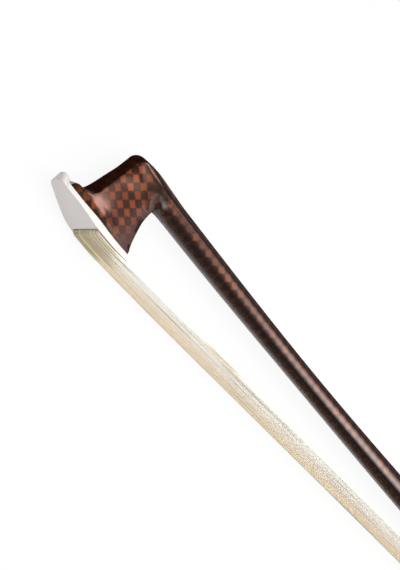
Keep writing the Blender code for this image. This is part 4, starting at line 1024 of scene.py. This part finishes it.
class BOW_OT_tip_plate(bpy.types.Operator):
    """Build the tip plate with its blunt beak and the slot that the hair comes out of"""

    bl_idname = "viola_bow.tip_plate"
    bl_label = "Tip Plate"

    def execute(self, context):
        places = [*PLATE_HEEL_PLACES, SLOT_START, SLOT_END]
        places += [mix(SLOT_END, BEAK_START, (k + 1) / PLATE_STEPS) for k in range(PLATE_STEPS)]
        places += [mix(BEAK_START, PLATE_LENGTH, (k + 1) / BEAK_STEPS) for k in range(BEAK_STEPS)]
        inner = (0.25, 0.5, 0.75, 1.0)
        columns = [*(-share for share in reversed(inner)), 0.0, *inner]
        bm = bmesh.new()
        bmesh.ops.create_grid(bm, x_segments=len(places) - 1, y_segments=len(columns) + 1, size=0.5)
        rows = {}
        for vertex in bm.verts:
            i = round((vertex.co.x + 0.5) * (len(places) - 1))
            j = round((vertex.co.y + 0.5) * (len(columns) + 1))
            rows[vertex] = (i, j)
        hole = []
        for vertex, (i, j) in rows.items():
            x = places[i]
            half = self.half_width(x)
            slot = min(SLOT_HALF_WIDTH, half * SLOT_EDGE_SHARE)
            if 0 < j < len(columns) + 1:
                z = slot * columns[j - 1]
            else:
                z = half if j else -half
            vertex.co = (x, plate_face(x), z)
        for face in bm.faces:
            middle = face.calc_center_median()
            if SLOT_START < middle.x < SLOT_END and abs(middle.z) < SLOT_HALF_WIDTH:
                hole.append(face)
        bmesh.ops.delete(bm, geom=hole, context="FACES")
        grown = bmesh.ops.extrude_face_region(bm, geom=bm.faces[:])["geom"]
        for item in grown:
            if isinstance(item, bmesh.types.BMVert):
                x = item.co.x
                reach = max(0.0, x - BEAK_START) / (PLATE_LENGTH - BEAK_START)
                rise = smoothstep(reach * BEAK_RISE)
                lean = PLATE_HEEL_LEAN * max(0.0, 1 - x / PLATE_HEEL_RUN)
                item.co.y = mix(plate_back(x), BEAK_TOP_D, rise)
                item.co.z *= mix(1.0, BEAK_TOP_SHARE, rise)
                item.co.x = x - (PLATE_LENGTH - BEAK_TOP_X) * reach + lean
        bmesh.ops.recalc_face_normals(bm, faces=bm.faces)
        sharp = [e for e in bm.edges if e.calc_face_angle(0) > PLATE_SHARP_ANGLE]
        bmesh.ops.bevel(
            bm,
            geom=sharp,
            affect="EDGES",
            offset=PLATE_EDGE_ROUND,
            offset_type="OFFSET",
            segments=3,
            profile=0.5,
            clamp_overlap=True,
            material=-1,
        )
        x, y = from_head(0, 0)
        turn = Matrix.Translation((x, y, 0)) @ Matrix.Rotation(-HEAD_TURN, 4, "Z")
        bmesh.ops.transform(bm, matrix=turn, verts=bm.verts)
        to_object(bm, "plate", "moulded_polymer", "stick", "tip_plate")
        return {"FINISHED"}

    @staticmethod
    def half_width(x):
        """Half width of the face, drawn in at the blunt end of the beak."""
        round_start = PLATE_LENGTH - BEAK_ROUND
        half = plate_half_width(min(x, round_start))
        if x > round_start:
            share = min((x - round_start) / (PLATE_LENGTH - round_start), 1.0)
            half *= mix(BEAK_END_SHARE, 1.0, math.sqrt(max(0.0, 1 - share * share)))
        return half


class BOW_OT_hair(bpy.types.Operator):
    """Build the ribbon of hair from the head's slot to the ferrule, hair by hair"""

    bl_idname = "viola_bow.hair"
    bl_label = "Hair"

    def execute(self, context):
        sizes = context.scene.bow_sizes
        hairs = self.loose_hairs(sizes.hairs)
        bm = bmesh.new()
        core = None
        loose = None
        places = {}
        run = 0.0
        last = None
        for k, (place, outward, half) in enumerate(stations()):
            run += (place - last).length if last is not None else 0.0
            last = place
            points = ribbon_points(place, outward, half)
            core = first_ring(bm, points) if core is None else next_ring(bm, core, points)
            for vertex in core:
                places[vertex] = (vertex.co.z / half * HAIR_HALF_HEAD, run)
            points = []
            for across, height, wander, phase in hairs:
                share = across + wander * math.sin(HAIR_WAVE * k + phase)
                share = max(-HAIR_EDGE_SHARE, min(HAIR_EDGE_SHARE, share))
                above = height + crown(share)
                points += hair_points(place, outward, above, share * half, sizes.hair_radius)
            if loose is None:
                loose = []
                for n in range(len(hairs)):
                    loose += first_ring(bm, points[4 * n : 4 * n + 4])
            else:
                loose = next_ring(bm, loose, points)
            for n, vertex in enumerate(loose):
                across, *_, phase = hairs[n // 4]
                places[vertex] = (HAIR_HALF_HEAD * across + HAIR_TONE_SHIFT * phase, run)
        bmesh.ops.holes_fill(bm, edges=[e for e in bm.edges if e.is_boundary], sides=0)
        map_corners(bm, "strand", places)
        smooth = math.radians(100)
        piece = to_object(bm, "hair", "bleached_horsehair", None, "hair_ribbon", smooth)
        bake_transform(piece)
        return {"FINISHED"}

    @staticmethod
    def loose_hairs(count):
        """Each hair's share across the ribbon, height, reach to each side and place in that swing."""
        chance = random.Random(HAIR_SEED)
        hairs = []
        for side in (1, -1):
            for k in range(count):
                across = mix(-RIBBON_EDGE_SHARE, RIBBON_EDGE_SHARE, (k + 0.5) / count)
                across += chance.uniform(-HAIR_STRAY, HAIR_STRAY)
                height = side * (RIBBON_HALF_THICKNESS + chance.uniform(-HAIR_SINK, HAIR_RISE))
                wander = chance.uniform(-HAIR_WANDER, HAIR_WANDER)
                hairs.append((across, height, wander, chance.uniform(0, 6.28)))
        return hairs


class BOW_OT_winding(bpy.types.Operator):
    """Wind the silver wire round the handle and close its two ends"""

    bl_idname = "viola_bow.winding"
    bl_label = "Winding"

    def execute(self, context):
        pitch = context.scene.bow_sizes.wire_pitch
        wire = pitch / 2
        turns = int((WINDING_END - WINDING_START - 2 * wire) / pitch)
        # One turn is wound from a circle, turned over, on a bar of radius 1. It is copied along the bar, and
        # all turns are then drawn in on to the stick
        bar = 1.0
        bm = bmesh.new()
        place = Matrix.Translation((WINDING_START + wire, bar, 0)) @ Matrix.Rotation(math.pi, 4, "X")
        ring = bmesh.ops.create_circle(bm, segments=6, radius=wire, matrix=place)
        edges = list({edge for vertex in ring["verts"] for edge in vertex.link_edges})
        bmesh.ops.spin(
            bm,
            geom=edges,
            cent=(0, 0, 0),
            axis=(1, 0, 0),
            dvec=(pitch / WINDING_STEPS, 0, 0),
            angle=2 * math.pi,
            steps=WINDING_STEPS,
            use_merge=False,
            use_duplicate=False,
        )
        one_turn = [*bm.verts, *bm.edges, *bm.faces]
        for k in range(1, turns):
            copied = bmesh.ops.duplicate(bm, geom=one_turn)["geom"]
            moved = [item for item in copied if isinstance(item, bmesh.types.BMVert)]
            bmesh.ops.translate(bm, vec=(k * pitch, 0, 0), verts=moved)
        bmesh.ops.remove_doubles(bm, verts=bm.verts, dist=wire / 50)
        bmesh.ops.holes_fill(bm, edges=[e for e in bm.edges if e.is_boundary], sides=0)
        for vertex in bm.verts:
            x = vertex.co.x
            turn = math.atan2(vertex.co.z, vertex.co.y)
            beyond = math.hypot(vertex.co.y, vertex.co.z) - bar
            height, slope = camber(x)
            reach = stick_radius(x) * stick_reach(x, turn) + WINDING_GAP + wire + beyond
            up = reach * math.cos(turn)
            vertex.co = (x - slope * up, height + up, reach * math.sin(turn))
        to_object(bm, "wire_winding", "polished_silver", "stick", "winding", math.radians(100))
        return {"FINISHED"}


class BOW_OT_grip(bpy.types.Operator):
    """Wrap the thumb leather round the handle, with a lapped seam"""

    bl_idname = "viola_bow.grip"
    bl_label = "Thumb Leather"

    def execute(self, context):
        bm = bmesh.new()
        ring = None
        for k in range(GRIP_RINGS + 1):
            share = k / GRIP_RINGS
            x = mix(GRIP_START, GRIP_END, share)
            edge = min(share, 1 - share) * (GRIP_END - GRIP_START)
            rise = math.sqrt(max(0.0, 1 - max(0.0, 1 - edge / GRIP_ROUND) ** 2))
            points = []
            for n in range(GRIP_RING_POINTS):
                turn = 2 * math.pi * n / GRIP_RING_POINTS
                lapped = rise > 0.5 and GRIP_LAP_TURNS[0] < turn < GRIP_LAP_TURNS[1]
                corner = mix(stick_reach(x, turn), GRIP_ROUND_REACH, GRIP_ROUNDING)
                reach = HANDLE_RADIUS * corner + GRIP_GAP + GRIP_THICKNESS * rise + GRIP_LAP * lapped
                points.append((x, reach * math.cos(turn), reach * math.sin(turn)))
            ring = first_ring(bm, points) if ring is None else next_ring(bm, ring, points)
        bmesh.ops.holes_fill(bm, edges=[e for e in bm.edges if e.is_boundary], sides=0)
        to_object(bm, "grip_leather", "grained_leather", "stick", "thumb_grip")
        return {"FINISHED"}


# CAD nodes that keep their shape and get rounded edges
ROUNDED = (
    "frog_block",
    "ferrule",
    "slide_backing",
    "pearl_slide",
    "heel_plate_lower",
    "heel_plate_back",
    "underslide",
    "eye_ring_left",
    "eye_ring_right",
    "eye_pearl_left",
    "eye_pearl_right",
    "button_barrel",
    "button_front_ring",
    "button_rear_ring",
    "button_pearl_eye",
)

# Small and inner CAD nodes that are shown as they are
CARRIED_OVER = (
    "tip_plug",
    "spread_wedge",
    "frog_plug",
    "tip_hair_knot",
    "frog_hair_knot",
    "heel_pin_1",
    "heel_pin_2",
    "heel_pin_3",
    "underslide_pin_front",
    "underslide_pin_rear",
    "eyelet",
    "adjusting_screw",
)

# The finish of each of the record's material slots on these nodes
FINISHES = {
    "ebony": "polished_ebony",
    "silver": "polished_silver",
    "mother_of_pearl": "polished_shell",
    "plain_wood": "sawn_maple",
    "bound_thread": "tied_thread",
    "brass": "turned_brass",
    "steel": "turned_steel",
}
MERGE_DISTANCE = 0.000002
FLAT_ANGLE = math.radians(0.5)
EDGE_ANGLE = math.radians(40)


class BOW_OT_fittings(bpy.types.Operator):
    """Round the edges of the frog, its mountings and the button, and finish the inner pieces"""

    bl_idname = "viola_bow.fittings"
    bl_label = "Frog and Button"

    def execute(self, context):
        record = frame["record"]
        slots = {part["node"]: part["material_slot"] for part in record["subparts"]}
        bodies = {node: body for body, nodes in record["behaviour"]["bodies"].items() for node in nodes}
        for node in ROUNDED:
            bm = bmesh.new()
            bm.from_mesh(frame["nodes"][node].data)
            bmesh.ops.remove_doubles(bm, verts=bm.verts, dist=MERGE_DISTANCE)
            bmesh.ops.dissolve_limit(
                bm, angle_limit=FLAT_ANGLE, use_dissolve_boundaries=False, verts=bm.verts, edges=bm.edges
            )
            slot = slots[node]
            piece = to_object(bm, node + "_dressed", FINISHES[slot], bodies[node], node)
            modifier = piece.modifiers.new("rounded_edges", "BEVEL")
            modifier.width = context.scene.bow_sizes.edge_round
            modifier.segments = 2
            modifier.limit_method = "ANGLE"
            modifier.angle_limit = EDGE_ANGLE
            modifier.harden_normals = True
        for node in CARRIED_OVER:
            for holder in frame["nodes"][node].material_slots:
                holder.material = bpy.data.materials[FINISHES[slots[node]]]
        return {"FINISHED"}


class BOW_OT_finishes(bpy.types.Operator):
    """Make the bow's materials"""

    bl_idname = "viola_bow.finishes"
    bl_label = "Finishes"

    def execute(self, context):
        colours = context.scene.bow_colours
        lacquered_weave(colours, context.scene.bow_sizes)
        moulded_polymer(colours)
        bleached_horsehair(colours)
        polished_silver(colours)
        polished_ebony(colours)
        mother_of_pearl(colours)
        grained_leather(colours)
        turned_metal("turned_brass", linear("#C9A35A"), 0.3)
        turned_metal("turned_steel", linear("#B4B6B8"), 0.25)
        dull_fibres("sawn_maple", "#D8BE93", "#B8966A", (60.0, 900.0, 900.0))
        dull_fibres("tied_thread", "#CFC09A", "#8F7F5C", (3000.0, 200.0, 200.0))
        return {"FINISHED"}


class BOW_OT_stage(bpy.types.Operator):
    """Set the pale floor, the soft lights and the camera"""

    bl_idname = "viola_bow.stage"
    bl_label = "Stage"

    def execute(self, context):
        scene = context.scene
        scene.view_settings.view_transform = "Standard"
        self.floor()
        self.world(scene)
        for name, (place, aim, width, height, power, tint) in LAMPS.items():
            self.lamp(name, place, aim, width, height, power, tint)
        self.camera(scene)
        return {"FINISHED"}

    @staticmethod
    def floor():
        place = Matrix.Translation((0, 0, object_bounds()[0].z - FLOOR_GAP))
        bm = bmesh.new()
        bmesh.ops.create_grid(bm, x_segments=1, y_segments=1, size=FLOOR_HALF, matrix=place)
        piece = plain_object(bm, "floor")
        material, tree, shader = new_material("pale_floor", linear("#D0D0D0"), 0.9)
        # White to the camera, with enough of the floor's own shade left for the bow's shadow
        seen = add_node(tree, "ShaderNodeLightPath").outputs["Is Camera Ray"]
        share = maths(tree, "MULTIPLY", seen, FLOOR_GLOW)
        glow = add_node(tree, "ShaderNodeEmission", {"Color": (1, 1, 1, 1), "Strength": 1.0}).outputs[0]
        shaders = {0: share, 1: shader.outputs["BSDF"], 2: glow}
        both = add_node(tree, "ShaderNodeMixShader", shaders).outputs[0]
        tree.links.new(both, tree.nodes["Material Output"].inputs["Surface"])
        piece.data.materials.append(material)
        piece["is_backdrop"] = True

    @staticmethod
    def world(scene):
        world = bpy.data.worlds.new("studio")
        scene.world = world
        world.use_nodes = True
        tree = world.node_tree
        fill = tree.nodes["Background"]
        fill.inputs["Color"].default_value = (1, 1, 1, 1)
        fill.inputs["Strength"].default_value = WORLD_LIGHT
        white = add_node(tree, "ShaderNodeBackground", {"Color": (1, 1, 1, 1), "Strength": 1.0}).outputs[0]
        seen = add_node(tree, "ShaderNodeLightPath").outputs["Is Camera Ray"]
        both = add_node(tree, "ShaderNodeMixShader", {0: seen, 1: fill.outputs[0], 2: white}).outputs[0]
        tree.links.new(both, tree.nodes["World Output"].inputs["Surface"])

    @staticmethod
    def lamp(name, place, aim, width, height, power, tint):
        light = bpy.data.lights.new(name, "AREA")
        light.shape = "RECTANGLE"
        light.size = width
        light.size_y = height
        light.energy = power
        light.color = linear(tint)
        lamp = bpy.data.objects.new(name, light)
        lamp.location = place
        lamp.rotation_euler = (Vector(aim) - Vector(place)).to_track_quat("-Z", "Y").to_euler()
        bpy.context.scene.collection.objects.link(lamp)

    @staticmethod
    def camera(scene):
        turn = Matrix.Rotation(-HEAD_TURN, 3, "Z")
        back = (turn @ Vector(CAMERA_BACK)).normalized()
        up = turn @ Vector(CAMERA_UP)
        up = (up - back * up.dot(back)).normalized()
        right = up.cross(back)
        heel = Vector((HEEL_DISTANCE, HEEL_HEIGHT, 0))
        aside = (PICTURE_WIDTH / 2 - HEEL_PIXEL[0]) / PIXELS_PER_METRE
        above = (HEEL_PIXEL[1] - PICTURE_HEIGHT / 2) / PIXELS_PER_METRE
        place = heel + right * aside + up * above + back * CAMERA_DISTANCE
        data = bpy.data.cameras.new("camera")
        data.sensor_width = SENSOR
        data.lens = SENSOR * CAMERA_DISTANCE * PIXELS_PER_METRE / PICTURE_HEIGHT
        data.clip_end = 100.0
        camera = bpy.data.objects.new("camera", data)
        camera.matrix_world = Matrix(
            (
                (right.x, up.x, back.x, place.x),
                (right.y, up.y, back.y, place.y),
                (right.z, up.z, back.z, place.z),
                (0, 0, 0, 1),
            )
        )
        scene.collection.objects.link(camera)
        scene.camera = camera


class BOW_PT_panel(bpy.types.Panel):
    """Lists the bow's sizes, colours and pieces"""

    bl_idname = "BOW_PT_panel"
    bl_label = "Viola Bow"
    bl_space_type = "VIEW_3D"
    bl_region_type = "UI"
    bl_category = "Viola Bow"

    def draw(self, context):
        layout = self.layout
        for group in (context.scene.bow_sizes, context.scene.bow_colours):
            column = layout.column(align=True)
            for name in group.__annotations__:
                column.prop(group, name)
        for operator in OPERATORS:
            layout.operator(operator.bl_idname)


OPERATORS = (
    BOW_OT_finishes,
    BOW_OT_stick,
    BOW_OT_tip_plate,
    BOW_OT_hair,
    BOW_OT_winding,
    BOW_OT_grip,
    BOW_OT_fittings,
    BOW_OT_stage,
)
CLASSES = (BowSizes, BowColours, *OPERATORS, BOW_PT_panel)


def register():
    for cls in CLASSES:
        bpy.utils.register_class(cls)
    bpy.types.Scene.bow_sizes = PointerProperty(type=BowSizes)
    bpy.types.Scene.bow_colours = PointerProperty(type=BowColours)


def unregister():
    del bpy.types.Scene.bow_colours
    del bpy.types.Scene.bow_sizes
    for cls in reversed(CLASSES):
        bpy.utils.unregister_class(cls)


def main():
    register()
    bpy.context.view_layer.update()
    bpy.ops.viola_bow.finishes()
    bpy.ops.viola_bow.stick()
    bpy.ops.viola_bow.tip_plate()
    bpy.ops.viola_bow.hair()
    bpy.ops.viola_bow.winding()
    bpy.ops.viola_bow.grip()
    bpy.ops.viola_bow.fittings()
    bpy.ops.viola_bow.stage()


if __name__ == "__main__":
    main()
